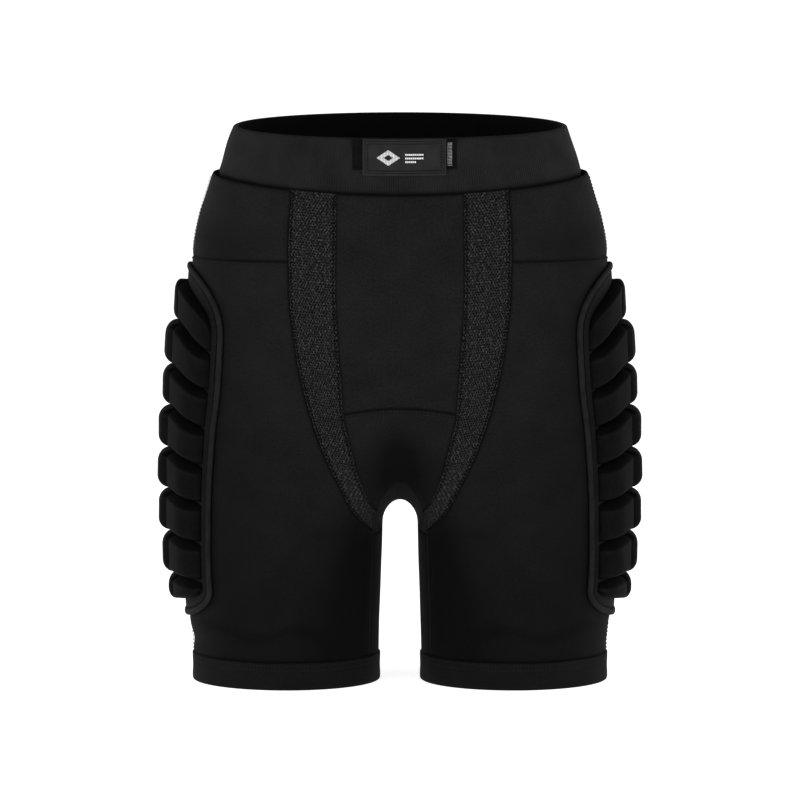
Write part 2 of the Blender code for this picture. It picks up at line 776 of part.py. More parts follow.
def emit(pad, name, top, bottom, skin, hips, wrap=False):
    """Makes one piece of a seat pad, or the same piece of both hip pads."""
    if not hips:
        slab(f"{pad.stem}_{name}", top, bottom, skin, wrap)
        return
    slab(f"{pad.stem}_left_{name}", top, bottom, skin, wrap)
    slab(f"{pad.stem}_right_{name}", mirrored(top), mirrored(bottom), skin, wrap)


def backing(pad, skins, hips):
    inside = 2 * PIPING_RADIUS + BACKING_CLEAR
    low = pad.bottom + inside
    high = pad.top - inside
    turns = np.linspace(-0.94, 0.94, 17)
    mid = (low + high) / 2
    heights = [mid + (high - low) / 2 * math.sin(t * math.pi / 2) for t in turns]
    top = []
    bottom = []
    for height in heights:
        half = pad.half_width(height, inside)
        row = np.linspace(-half, half, 9)
        top.append([pad.site.point(a, height, PAD_LIFT + BACKING) for a in row])
        bottom.append([pad.site.point(a, height, PAD_LIFT) for a in row])
    emit(pad, "backing", np.array(top), np.array(bottom), skins["pad_cover"], hips)


def piping(pad, skins, hips):
    """The rolled edge round the pad: a closed tube that follows the outline."""
    sides = 5
    steps = 42
    mid = (pad.top + pad.bottom) / 2
    path = []
    for k in range(steps):
        turn = 2 * math.pi * k / steps
        height = mid + (pad.top - pad.bottom - 2 * PIPING_RADIUS) / 2 * math.sin(turn)
        half = pad.half_width(height, PIPING_RADIUS)
        path.append((math.copysign(half, math.cos(turn)), height))
    path = even_path(path, steps)
    rings = []
    for k, (a, h) in enumerate(path):
        before = path[k - 1]
        after = path[(k + 1) % len(path)]
        centre = pad.site.point(a, h, PAD_LIFT + PIPING_RADIUS)
        out = pad.site.point(a, h, PAD_LIFT + PIPING_RADIUS + 1.0) - centre
        ahead = pad.site.point(*after, 3.0) - pad.site.point(*before, 3.0)
        aside = np.cross(ahead, out)
        aside /= np.linalg.norm(aside)
        turns = [2 * math.pi * (i + 0.5) / sides for i in range(sides)]
        rings.append([centre + (out * math.sin(t) + aside * math.cos(t)) * PIPING_RADIUS for t in turns])
    tube(pad, np.array(rings), skins["piping"], hips)


def even_path(path, count):
    """The same closed path with points at even distances."""
    closed = np.array(path + [path[0]])
    lengths = np.concatenate([[0.0], np.cumsum(np.linalg.norm(np.diff(closed, axis=0), axis=1))])
    wanted = np.linspace(0.0, lengths[-1], count + 1)[:-1]
    across = np.interp(wanted, lengths, closed[:, 0])
    heights = np.interp(wanted, lengths, closed[:, 1])
    return list(zip(across, heights))


def tube(pad, rings, skin, hips):
    count, sides = rings.shape[:2]
    faces = []
    for k in range(count):
        for i in range(sides):
            n = (k + 1) % count
            j = (i + 1) % sides
            faces.append((k * sides + i, k * sides + j, n * sides + j, n * sides + i))
    if not hips:
        mesh_object(f"{pad.stem}_border", list(rings.reshape(-1, 3)), faces, skin)
        return
    for name, shape in (("left", rings), ("right", mirrored(rings))):
        mesh_object(f"{pad.stem}_{name}_border", list(shape.reshape(-1, 3)), faces, skin)


def lobe(u):
    """The crown of a foam block: 0 at its edges and 1 over most of its middle."""
    return max(0.0, 1 - abs(u) ** 3.2) ** 0.5


def foam_columns(pad):
    """Places across a row, as (distance, crown, share of the centre lobe)."""
    reach = pad.half - PAD_MARGIN
    flank_mid = (reach + pad.column) / 2
    flank_half = (reach - pad.column) / 2
    columns = [(-flank_mid + flank_half * u, lobe(u), 0.0) for u in FOAM_STOPS[:-1]]
    columns += [(pad.column * u, lobe(u), 1.0) for u in FOAM_STOPS]
    columns += [(flank_mid + flank_half * u, lobe(u), 0.0) for u in FOAM_STOPS[1:]]
    return columns


def groove(pad, index, distance):
    """Height of a groove at a distance from the pad's centre line: level, then falling away."""
    reach = pad.half - PAD_MARGIN - pad.column
    beyond = max(0.0, abs(distance) - pad.column) / reach
    return pad.grooves[index] - pad.falls[index] * beyond


def foam_row(pad, index, skin, hips):
    """One row of foam: a centre lobe and two flank lobes, joined by a thin web."""
    base = PAD_LIFT + BACKING + FOAM_CLEAR
    top = []
    bottom = []
    for v in FOAM_STOPS:
        line = []
        under = []
        for distance, crown, middle in foam_columns(pad):
            high, low = row_limits(pad, index, distance)
            height = (high + low) / 2 + (high - low) / 2 * v
            limit = pad.half_width(height, PAD_MARGIN)
            across = distance * min(1.0, limit / (pad.half - PAD_MARGIN))
            thick = pad.centre[index] if middle else pad.flank[index]
            rise = thick * (FOAM_WEB + (1 - FOAM_WEB) * crown * lobe(v))
            line.append(pad.site.point(across, height, base + rise))
            under.append(pad.site.point(across, height, base))
        top.append(line)
        bottom.append(under)
    emit(pad, f"segment_{index + 1}", np.array(top), np.array(bottom), skin, hips)


def row_limits(pad, index, distance):
    """The upper and lower edge of a foam row at a distance from the pad's centre line."""
    reach = pad.half - PAD_MARGIN
    share = min(abs(distance) / reach, 1.0)
    rounded = 1 - (1 - share ** PAD_CORNER) ** (1 / PAD_CORNER)
    if index == 0:
        crown = pad.top - pad.end_margin
        fall = crown - pad.shoulder
        high = crown - fall * rounded * CROWN_FALL
    else:
        high = groove(pad, index - 1, distance) - GROOVE_HALF
    if index == len(pad.grooves):
        sole = pad.bottom + pad.end_margin
        low = sole + (pad.heel - sole) * rounded * SOLE_RISE
    else:
        low = groove(pad, index, distance) + GROOVE_HALF
    return high, low


def build_pad(pad, skins, hips):
    backing(pad, skins, hips)
    piping(pad, skins, hips)
    for index in range(len(pad.grooves) + 1):
        foam_row(pad, index, skins["pad_cover"], hips)


def main():
    clear_scene()
    skins = palette()
    waistband(skins)
    closure(skins)
    front_centre(skins)
    front_gusset(skins)
    mesh_inserts(skins)
    front_yokes(skins)
    leg_panels(skins)
    inner_legs(skins)
    crotch_gusset(skins)
    rear_yoke(skins)
    seat_panel(skins)
    hem_bands(skins)
    build_pad(hip_pad(), skins, hips=True)
    build_pad(seat_pad(), skins, hips=False)


main()
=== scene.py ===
"""Looks for the padded impact shorts: knit, open mesh, stitched seams and foam pads."""

import math

import bmesh
import bpy
import numpy as np
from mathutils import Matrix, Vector


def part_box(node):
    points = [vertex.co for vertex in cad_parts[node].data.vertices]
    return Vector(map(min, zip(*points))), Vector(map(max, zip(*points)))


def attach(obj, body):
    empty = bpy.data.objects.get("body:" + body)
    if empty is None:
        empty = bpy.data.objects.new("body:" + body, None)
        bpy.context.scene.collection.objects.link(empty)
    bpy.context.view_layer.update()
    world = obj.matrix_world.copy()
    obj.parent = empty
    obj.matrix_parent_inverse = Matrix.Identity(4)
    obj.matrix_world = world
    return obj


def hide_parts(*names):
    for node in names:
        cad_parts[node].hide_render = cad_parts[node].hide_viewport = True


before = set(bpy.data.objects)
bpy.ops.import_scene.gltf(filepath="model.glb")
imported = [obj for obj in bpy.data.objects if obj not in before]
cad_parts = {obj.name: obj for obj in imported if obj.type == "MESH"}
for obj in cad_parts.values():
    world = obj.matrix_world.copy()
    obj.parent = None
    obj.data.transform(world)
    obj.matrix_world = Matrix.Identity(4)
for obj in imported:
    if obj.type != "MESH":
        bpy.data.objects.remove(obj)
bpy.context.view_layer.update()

MM = 0.001
SHORTS = "shorts"
TAB = "waist_tab"

# ---------------------------------------------------------------- driving dimensions, millimetres

RIM_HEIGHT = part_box("waistband_casing")[1].z / MM
BODY_Y = (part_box("hem_band_left")[0].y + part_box("hem_band_left")[1].y) / 2 / MM
SEAM_FRONT = 414.0
SEAM_SIDE = 421.0
RIM_HALF_WIDTH = 137.5
RIM_HALF_DEPTH = 95.0
BAND_FOOT_HALF_WIDTH = 149.0
BAND_FOOT_HALF_DEPTH = 102.5
CROTCH_HEIGHT = 150.0
CLEFT_TOP = 176.0
CLEFT_FOOT = 122.0
LEG_GAP_HALF = 17.5
GAP_CLOSING = 3.5
GAP_CLOSES_FROM = 20.0
GAP_CLOSES_OVER = 130.0
UNDERSIDE_DROP = 20.0
ARCH_FADE = 0.12
FLANK_FADE = 0.25
FLANK_BELOW = 40.0
FLANK_ABOVE = 80.0
LEG_TURN = math.radians(155.0)
HEM_HEIGHT = 23.0
YOKE_SEAM_SIDE = 352.0
YOKE_SEAM_INNER = 358.0
ARCH_SEAM_CENTRE = 238.0
ARCH_SEAM_EDGE = 232.5

WIDTH_AT = [(0, 170.2), (30, 170.4), (52, 173.5), (120, 175.5), (250, 175.5), (330, 172.0),
            (360, 170.6), (385, 166.0), (400, 161.5), (421, 155.0)]
FRONT_AT = [(0, 80), (60, 84), (120, 91), (176, 102), (230, 110), (300, 113), (360, 111),
            (421, 106)]
BACK_AT = [(0, 80), (60, 84), (120, 93), (176, 106), (240, 114), (300, 115), (360, 112),
           (421, 107)]
MESH_INNER_AT = [(144.0, 14.6), (150.4, 20.4), (161.3, 27.0), (175.3, 32.8), (193.2, 37.7),
                 (210.5, 41.9), (227.5, 46.0), (270.0, 49.3), (304.0, 51.8), (340.0, 53.4),
                 (416.0, 52.6)]
MESH_OUTER_AT = [(125.0, 16.3), (130.0, 24.5), (140.4, 32.8), (152.0, 41.0), (166.0, 47.7),
                 (195.2, 61.7), (235.8, 75.7), (270.0, 84.0), (295.0, 88.0), (328.7, 91.4),
                 (370.0, 92.3), (412.0, 89.8)]
SEAT_SEAM_AT = [(144.0, 18.0), (151.0, 25.0), (175.0, 38.0), (210.0, 54.0), (260.0, 68.0),
                (310.0, 75.0), (356.0, 77.0)]

CLOTH = 1.3
EDGE_GAP = 0.015

TINY = 1e-6
NEAR_CENTRE = 1e-5
SHARE_STEP = 1e-3
HEIGHT_STEP = 0.5

# ---------------------------------------------------------------- curves and the body surface


def smooth(t):
    t = np.clip(t, 0.0, 1.0)
    return t * t * (3 - 2 * t)


def bells(x, terms):
    """A sum of bell curves, each given as (height, middle, reach)."""
    return sum(height * np.exp(-((x - middle) / reach) ** 2) for height, middle, reach in terms)


def arch(t):
    t = np.clip(t, 0.0, 1.0)
    return 1 - np.sqrt(1 - t * t)


def along(points, where):
    """Values on a smooth monotone curve through (place, value) points."""
    places = np.array([p[0] for p in points], float)
    values = np.array([p[1] for p in points], float)
    where = np.clip(where, places[0], places[-1])
    step = np.diff(places)
    rate = np.diff(values) / step
    before = rate[:-1]
    after = rate[1:]
    both = np.where(before + after == 0, 1, before + after)
    mean = np.where(before * after > 0, 2 * before * after / both, 0)
    slope = np.concatenate([[rate[0]], mean, [rate[-1]]])
    i = np.clip(np.searchsorted(places, where, side="right") - 1, 0, len(places) - 2)
    t = (where - places[i]) / step[i]
    rise = values[i + 1] - values[i]
    return (values[i] + rise * t * t * (3 - 2 * t)
            + step[i] * t * (1 - t) * (slope[i] * (1 - t) - slope[i + 1] * t))


def paired(first, second):
    return np.broadcast_arrays(np.asarray(first, float), np.asarray(second, float))


def sign(x):
    return np.where(x < 0, -1.0, 1.0)


def x_scaled(scale):
    """Multipliers for points and normals that scale x alone."""
    return scale[..., None] * np.array([1.0, 0, 0]) + np.array([0, 1.0, 1.0])


def seam_height(side):
    return SEAM_FRONT + (SEAM_SIDE - SEAM_FRONT) * np.sin(np.pi * side) ** 2


def leg_point(height, angle):
    """On the left leg: angle 0 is its outer side, minus a quarter turn its front."""
    outer = along(WIDTH_AT, height)
    gap = LEG_GAP_HALF - GAP_CLOSING * smooth((height - GAP_CLOSES_FROM) / GAP_CLOSES_OVER)
    depth = np.where(np.sin(angle) < 0, along(FRONT_AT, height), along(BACK_AT, height))
    x = (outer + gap) / 2 + (outer - gap) / 2 * np.cos(angle)
    return np.stack(np.broadcast_arrays(x, depth * np.sin(angle), height), -1)


def trunk_point(height, side):
    turn = np.pi * (side - 0.5)
    depth = np.where(side < 0.5, along(FRONT_AT, height), along(BACK_AT, height))
    x = along(WIDTH_AT, height) * np.cos(turn)
    return np.stack(np.broadcast_arrays(x, depth * np.sin(turn), height), -1)


def outer_point(side, height):
    """The cloth surface: side 0 is the centre front, 0.5 the left hip and 1 the centre back."""
    side, height = paired(side, height)
    centre = np.minimum(side, 1 - side)
    t = (height - CLEFT_FOOT) / (CLEFT_TOP - CLEFT_FOOT)
    flank = smooth(centre / FLANK_FADE)
    foot = CLEFT_FOOT - FLANK_BELOW * flank
    share = smooth((height - foot) / (CLEFT_TOP + FLANK_ABOVE * flank - foot))[..., None]
    leg = leg_point(height, LEG_TURN * (2 * side - 1))
    trunk = trunk_point(height, side)
    point = leg * (1 - share) + trunk * share
    near = np.maximum(0.0, 1 - centre / ARCH_FADE) ** 2
    point[..., 0] += (arch(t) - smooth(t)) * near * (trunk[..., 0] - leg[..., 0])
    return point


def crotch_line(across):
    return CLEFT_TOP + (CROTCH_HEIGHT - CLEFT_TOP) * 4 * across * (1 - across)


def inner_point(across, rise):
    """The inside of the left leg, across 0 at its front edge, up to the crotch line at rise 1."""
    across, rise = paired(across, rise)
    top = crotch_line(across)
    foot = CLEFT_FOOT + (CROTCH_HEIGHT - UNDERSIDE_DROP - CLEFT_FOOT) * 4 * across * (1 - across)
    height = HEM_HEIGHT + (top - HEM_HEIGHT) * rise
    t = np.clip((height - foot) / (top - foot), 0.0, 1.0)
    gentle = smooth(t)
    leg = leg_point(height, -LEG_TURN - (2 * np.pi - 2 * LEG_TURN) * across)
    front = -along(FRONT_AT, height)
    under = front + (along(BACK_AT, height) - front) * across
    depth = leg[..., 1] * (1 - gentle) + under * gentle
    return np.stack([leg[..., 0] * (1 - arch(t)), depth, height], -1)


def unit(v):
    return v / np.maximum(np.linalg.norm(v, axis=-1, keepdims=True), 1e-12)


def facing(surface, share, place, step):
    """Unit normals of a surface from its small differences in both directions."""
    ahead = surface(np.minimum(share + SHARE_STEP, 1), place)
    across = ahead - surface(np.maximum(share - SHARE_STEP, 0), place)
    return unit(np.cross(across, surface(share, place + step) - surface(share, place - step)))


def outer_facing(side, height):
    return facing(outer_point, side, height, HEIGHT_STEP)


def inner_facing(across, rise):
    return -facing(inner_point, across, np.minimum(rise, 1 - 2 * SHARE_STEP), SHARE_STEP)


def outer_normal(side, height):
    """Outward normals. On the inner leg edge they are shared with the inside of the leg."""
    side, height = paired(side, height)
    normal = outer_facing(side, height)
    end = np.minimum(side, 1 - side) < TINY
    low = end & (height < CLEFT_TOP + TINY)
    rise = np.clip((height - HEM_HEIGHT) / (CLEFT_TOP - HEM_HEIGHT), 0, 1)
    shared = normal + inner_facing(np.where(side < 0.5, 0.0, 1.0), rise)
    normal = np.where(low[..., None], shared, normal)
    flat = end & (height > CLEFT_TOP - TINY)
    normal[..., 0] = np.where(flat, 0.0, normal[..., 0])
    return unit(normal)


def inner_normal(across, rise):
    across, rise = paired(across, rise)
    normal = inner_facing(across, rise)
    end = np.minimum(across, 1 - across) < TINY
    height = inner_point(across, rise)[..., 2]
    shared = normal + outer_facing(np.where(across < 0.5, 0.0, 1.0), height)
    normal = np.where(end[..., None], shared, normal)
    normal[..., 0] = np.where(rise > 1 - TINY, 0.0, normal[..., 0])
    return unit(normal)


def bisect(low, high, value, target, steps=30):
    """Where an increasing function value(x) reaches target, for arrays of targets."""
    low = np.full(np.shape(target), low, float)
    high = np.full(np.shape(target), high, float)
    for _ in range(steps):
        mid = (low + high) / 2
        less = value(mid) < target
        low = np.where(less, mid, low)
        high = np.where(less, high, mid)
    return low


def side_at(distance, height):
    return bisect(0.0, 0.5, lambda s: outer_point(s, height)[..., 0], distance)


def back_side_at(distance, height):
    return 1 - bisect(0.0, 0.5, lambda s: outer_point(1 - s, height)[..., 0], distance)


# ---------------------------------------------------------------- mesh building


def to_world(points):
    moved = np.array(points, float)
    moved[..., 1] += BODY_Y
    return moved * MM


def mirrored(grid):
    return grid * np.array([-1.0, 1.0, 1.0])


SIDES = (("left", np.array), ("right", mirrored))
CENTRE = (("", np.array),)


def add_object(name, data):
    made = bpy.data.objects.new(name, data)
    bpy.context.scene.collection.objects.link(made)
    return made


def make_object(name, points, faces, material, uvs=None, crest=None):
    """A smooth-shaded mesh object. uvs and crest hold one entry for each vertex."""
    mesh = bpy.data.meshes.new(name)
    points = np.asarray(points, float).reshape(-1, 3)
    mesh.from_pydata(points.tolist(), [], faces)
    mesh.update()
    if uvs is not None:
        index = np.empty(len(mesh.loops), np.int32)
        mesh.loops.foreach_get("vertex_index", index)
        layer = mesh.uv_layers.new(name="cloth")
        layer.data.foreach_set("uv", np.asarray(uvs, np.float32)[index].reshape(-1))
    if crest is not None:
        layer = mesh.attributes.new("crest", "FLOAT", "POINT")
        layer.data.foreach_set("value", np.asarray(crest, np.float32).reshape(-1))
    build = bmesh.new()
    build.from_mesh(mesh)
    bmesh.ops.recalc_face_normals(build, faces=build.faces)
    build.to_mesh(mesh)
    build.free()
    mesh.shade_smooth()
    mesh.materials.append(material)
    return add_object(name, mesh)


def grid_faces(rows, columns, wrap=False, start=0, flip=False):
    r = np.arange(rows - 1)[:, None]
    c = np.arange(columns if wrap else columns - 1)[None, :]
    a = start + r * columns + c
    b = start + r * columns + (c + 1) % columns
    quads = np.stack([a, b, b + columns, a + columns], -1).reshape(-1, 4)
    return (quads[:, ::-1] if flip else quads).tolist()


def rim_faces(rows, columns):
    """Faces that join the borders of two stacked grids."""
    half = rows * columns
    edges = [(r * columns + c, 1) for c in range(columns - 1) for r in (0, rows - 1)]
    edges += [(r * columns + c, columns) for r in range(rows - 1) for c in (0, columns - 1)]
    return [(a, a + step, half + a + step, half + a) for a, step in edges]


def stacked(top, bottom):
    return np.concatenate([top.reshape(-1, 3), bottom.reshape(-1, 3)])


def steps_along(points, axis):
    return np.linalg.norm(np.diff(points, axis=axis), axis=-1)


def run_along(points):
    """How far each point of a grid lies from the start of its row, and of its column."""
    across = np.cumsum(steps_along(points, 1), 1)
    down = np.cumsum(steps_along(points, 0), 0)
    return np.pad(across, ((0, 0), (1, 0))), np.pad(down, ((1, 0), (0, 0)))


def shell(name, top, bottom, material, crest=None):
    """A closed solid between two grids of points in millimetres."""
    rows, columns = top.shape[:2]
    points = to_world(stacked(top, bottom))
    faces = grid_faces(rows, columns)
    faces += grid_faces(rows, columns, False, rows * columns, True)
    faces += rim_faces(rows, columns)
    u, v = run_along(top)
    u = u - u.mean(axis=1, keepdims=True)
    uvs = np.stack([u, v], -1).reshape(-1, 2) * MM
    crest = np.zeros((rows, columns)) if crest is None else crest
    crest = np.concatenate([crest.reshape(-1), np.zeros(rows * columns)])
    return make_object(name, points, faces, material, np.concatenate([uvs, uvs]), crest)


def finish_piece(piece, nodes, body=SHORTS):
    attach(piece, body)
    if nodes:
        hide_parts(*nodes)
    return piece


# ---------------------------------------------------------------- cloth relief


FAR = 1000.0


def border_distance(points, seams="lrtb", left_until=None):
    """For each point of a grid, how far the nearest of its sewn borders is.

    seams names the sewn borders: left, right, top and bottom. left_until ends the left one at a row.
    """
    across, down = run_along(points)
    nearest = np.full(across.shape, FAR)
    if "l" in seams:
        nearest[:left_until] = across[:left_until]
    if "r" in seams:
        nearest = np.minimum(nearest, across[:, -1:] - across)
    if "t" in seams:
        nearest = np.minimum(nearest, down)
    if "b" in seams:
        nearest = np.minimum(nearest, down[-1:] - down)
    return nearest


CREASE = (-0.9, 0.0, 7.0)
CREASE_HEIGHT = 41.0


def ease(points):
    """Soft unevenness of worn cloth, a few tenths of a millimetre, and creases above the hem."""
    x, y, z = points[..., 0], points[..., 1], points[..., 2]
    wave = np.sin(x / 31.0 + 1.3 * np.sin(z / 47.0)) * np.sin(z / 39.0 + y / 58.0)
    fine = np.sin(x / 13.0 + z / 21.0 + 0.7) * np.sin(z / 11.0 - y / 17.0)
    crease = bells(z - CREASE_HEIGHT - 6.0 * np.sin(x / 23.0), (CREASE,))
    crease = crease * smooth((np.abs(x) - 90.0) / 60.0)
    return 0.30 * wave + 0.10 * fine + crease


# Painted shade on the knit: how dark each place is made, then places and reaches in millimetres.
GUSSET_DARK = 0.90
GUSSET_REACH = 17.0
GUSSET_SPREAD = 0.30
CLEFT_DARK = 0.8
INNER_LEG_DARK = 0.34
LOW_LEG_DARK = (0.36, 0.16)
HIP_DARK = 0.60
HIP_FOLD = (150.0, 368.0)
HIP_REACH = (22.0, 18.0)
HEM_FOLD = (0.25, 0.0, 5.0)
HEM_FOLD_HEIGHT = 46.0
FLANK_DARK = 0.24


def below(z, height, over):
    """0 above a height, rising to 1 over a distance below it."""
    return smooth((height - z) / over)


def painted_shade(points):
    """Painted shade on the knit: how much darker its colour is made where shade falls, in its folds
    down the gusset, on the legs and on the hips.
    """
    x, z = np.abs(points[..., 0]), points[..., 2]
    front = points[..., 1] < 0
    reach = GUSSET_REACH + GUSSET_SPREAD * np.maximum(CLEFT_TOP + 40.0 - z, 0.0)
    gusset = GUSSET_DARK * np.exp(-(x / reach) ** 2) * below(z, ARCH_SEAM_CENTRE - 6.0, 35.0)
    cleft = below(x, 46.0, 20.0) * below(z, CLEFT_TOP + 12.0, 24.0) * smooth((z - 110.0) / 40.0)
    gusset = np.maximum(gusset, CLEFT_DARK * cleft * below(x, 24.0, 8.0))
    inner_leg = bells(x, ((INNER_LEG_DARK, LEG_GAP_HALF, 26.0),)) * below(z, CLEFT_TOP, 50.0)
    low_leg = LOW_LEG_DARK[0] * below(z, 350.0, 250.0) + LOW_LEG_DARK[1] * below(z, 150.0, 90.0)
    aside, above = (x - HIP_FOLD[0]) / HIP_REACH[0], (z - HIP_FOLD[1]) / HIP_REACH[1]
    hip = HIP_DARK * np.exp(-(aside ** 2 + above ** 2)) * front
    fold = bells(z - HEM_FOLD_HEIGHT - 4.0 * np.sin(x / 11.0), (HEM_FOLD,))
    flank = FLANK_DARK * smooth((x - 95.0) / 55.0) * below(z, YOKE_SEAM_SIDE + 20.0, 30.0)
    return gusset * front + inner_leg + low_leg + hip + fold + flank


ROLL_DEPTH = 0.55
ROLL_REACH = 1.3
SEAM_SHADE = ((0.30, 0.0, 2.2), (0.55, 0.0, 0.8))


def rolled_in(points, distance):
    """The lift of a panel's outer face, whose edges roll down into the seams."""
    return ease(points) - ROLL_DEPTH * np.exp(-(distance / ROLL_REACH) ** 2)


def cloth_piece(name, node, points, normals, knit, relief=None, seams="lrtb", left_until=None,
                shadow=0.0, allowance=0.0):
    """A panel of knit cloth. allowance lengthens its inner face beyond the side line."""
    distance = border_distance(points, seams, left_until)
    lift = rolled_in(points, distance)
    if relief is not None:
        points = points + normals * relief[..., None]
    inner = points - normals * CLOTH
    beyond = unit(points[:, -1] - points[:, -2])
    inner[:, -1] += beyond * allowance - normals[:, -1] * allowance / 5
    outer = points + normals * lift[..., None]
    # Painted shade: the colour is darkened along the seams, in the folds and under other parts.
    shade = bells(distance, SEAM_SHADE) + painted_shade(points) + shadow
    piece = shell(name, outer, inner, knit, crest=np.clip(shade, 0, 1))
    finish_piece(piece, [node])


def drawn_in(points, gap):
    """Pulls a grid's borders in by a hair, so that two panels never share a surface."""
    moved = points.copy()
    for end, near in ((0, 1), (-1, -2)):
        moved[end] += unit(points[near] - points[end]) * gap
        moved[:, end] += unit(points[:, near] - points[:, end]) * gap
    return moved


def outer_cloth(stem, sides, heights, knit, both=True, **sewing):
    """Makes a panel on the outer surface. With both, its mirror image is made on the right."""
    flip = x_scaled(sign(sides))
    points = drawn_in(outer_point(np.abs(sides), heights) * flip, EDGE_GAP)
    normals = outer_normal(np.abs(sides), heights) * flip
    for side, turn in SIDES if both else CENTRE:
        node = f"{stem}_{side}" if side else stem
        cloth_piece(node + "_cloth", node, turn(points), turn(normals), knit, **sewing)


# ---------------------------------------------------------------- panel layout

ROW_STOPS = 15
YOKE_STOP = 3
ARCH_STOP = 8


def mesh_inner_edge(t):
    """(side, height) down the insert's inner edge, t from 0 at the waist to 1 at the inner leg."""
    height = np.interp(t * ROW_STOPS, [0, ARCH_STOP, ROW_STOPS],
                       [seam_height(0.12), ARCH_SEAM_EDGE, MESH_INNER_AT[0][0]])
    side = side_at(along(MESH_INNER_AT, height), height)
    return np.where(t > 1 - 1e-9, 0.0, side), height


def mesh_outer_edge(t):
    height = np.interp(t * ROW_STOPS, [0, YOKE_STOP, ROW_STOPS],
                       [seam_height(0.22), YOKE_SEAM_INNER, MESH_OUTER_AT[0][0]])
    side = side_at(along(MESH_OUTER_AT, height), height)
    return np.where(t > 1 - 1e-9, 0.0, side), height


def seat_edge(t):
    height = YOKE_SEAM_SIDE + (SEAT_SEAM_AT[0][0] - YOKE_SEAM_SIDE) * t
    side = back_side_at(along(SEAT_SEAM_AT, height), height)
    return np.where(t > 1 - 1e-9, 1.0, side), height


def blend_rows(start, end, columns):
    """Rows of (side, height) between two edges, each an array pair."""
    t = np.linspace(0.0, 1.0, columns)[None, :]
    side = start[0][:, None] + (end[0] - start[0])[:, None] * t
    height = start[1][:, None] + (end[1] - start[1])[:, None] * t
    return side, height


def bowed_rows(edge, centres, columns, back=False):
    """Rows across the centre line, bowed from the edge height to the centre height."""
    x = np.linspace(-1.0, 1.0, columns)[None, :]
    side, height = edge
    heights = height[:, None] + (centres - height)[:, None] * (1 - x * x)
    reach = (1 - side if back else side)[:, None] * np.abs(x)
    sides = 1 - reach if back else reach
    return np.maximum(sides, 1e-9) * sign(x), heights


GUSSET_HOLLOW = 5.0
SIDE_ALLOWANCE = 1.5


def panels(knit):
    top = np.linspace(0.0, ARCH_STOP / ROW_STOPS, 95)
    centres = np.linspace(seam_height(0.0), ARCH_SEAM_CENTRE, len(top))
    sides, heights = bowed_rows(mesh_inner_edge(top), centres, 55)
    outer_cloth("front_centre_panel", sides, heights, knit, both=False)

    low = np.linspace(ARCH_STOP / ROW_STOPS, 1.0, 55)
    centres = np.linspace(ARCH_SEAM_CENTRE, CLEFT_TOP, len(low))
    sides, heights = bowed_rows(mesh_inner_edge(low), centres, 49)
    x = np.linspace(-1.0, 1.0, 49)[None, :]
    down = np.linspace(0.0, 1.0, len(low))[:, None]
    hollow = -GUSSET_HOLLOW * (1 - x * x) ** 2 * smooth(down / 0.6) * smooth((1 - down) / 0.25)
    outer_cloth("front_gusset", sides, heights, knit, both=False, relief=hollow, seams="lrt")

    yoke = np.linspace(0.0, YOKE_STOP / ROW_STOPS, 31)
    start = mesh_outer_edge(yoke)
    side_heights = np.linspace(SEAM_SIDE, YOKE_SEAM_SIDE, len(yoke))
    sides, heights = blend_rows(start, (np.full(len(yoke), 0.5), side_heights), 55)
    waist = seam_height(sides[0])
    heights = heights + (waist - heights[0])[None, :] * np.linspace(1.0, 0.0, len(yoke))[:, None]
    outer_cloth("front_yoke", sides, heights, knit, allowance=SIDE_ALLOWANCE)

    edge = mesh_outer_edge(np.linspace(YOKE_STOP / ROW_STOPS, 1.0, 100))
    leg_rows("front_leg_panel", edge, 0.0, knit, SIDE_ALLOWANCE)
    leg_rows("rear_leg_panel", seat_edge(np.linspace(0.0, 1.0, 90)), 1.0, knit)

    share = np.linspace(0.0, 1.0, 31)[:, None]
    x = np.linspace(-1.0, 1.0, 181)[None, :]
    sides = (1 - 0.5 * np.abs(x)) * sign(x) + 0 * share
    waist = seam_height(np.abs(sides))
    heights = waist + (YOKE_SEAM_SIDE - waist) * share
    outer_cloth("rear_yoke", sides, heights, knit, both=False)

    t = np.linspace(0.0, 1.0, 95)
    centres = np.linspace(YOKE_SEAM_SIDE, CLEFT_TOP, len(t))
    sides, heights = bowed_rows(seat_edge(t), centres, 71, back=True)
    outer_cloth("seat_panel", sides, heights, knit, both=False)


def leg_rows(stem, edge, end, knit, allowance=0.0):
    """A leg panel: rows from the centre seam, then the inner leg edge, out to the side line."""
    low = np.linspace(edge[1][-1], HEM_HEIGHT, 46)[1:]
    side = np.concatenate([edge[0], np.full(len(low), end)])
    height = np.concatenate([edge[1], low])
    hip = np.linspace(YOKE_SEAM_SIDE, HEM_HEIGHT, len(height))
    sides, heights = blend_rows((side, height), (np.full(len(height), 0.5), hip), 75)
    outer_cloth(stem, sides, heights, knit, left_until=len(edge[0]), allowance=allowance)


NET_REACH = 0.30
TUCK = 0.7
TUCK_DEPTH = 0.12
UNDER_NET = 1.5
INNER_LEG_SHADOW = 0.40
CROTCH_SHADOW = 0.70


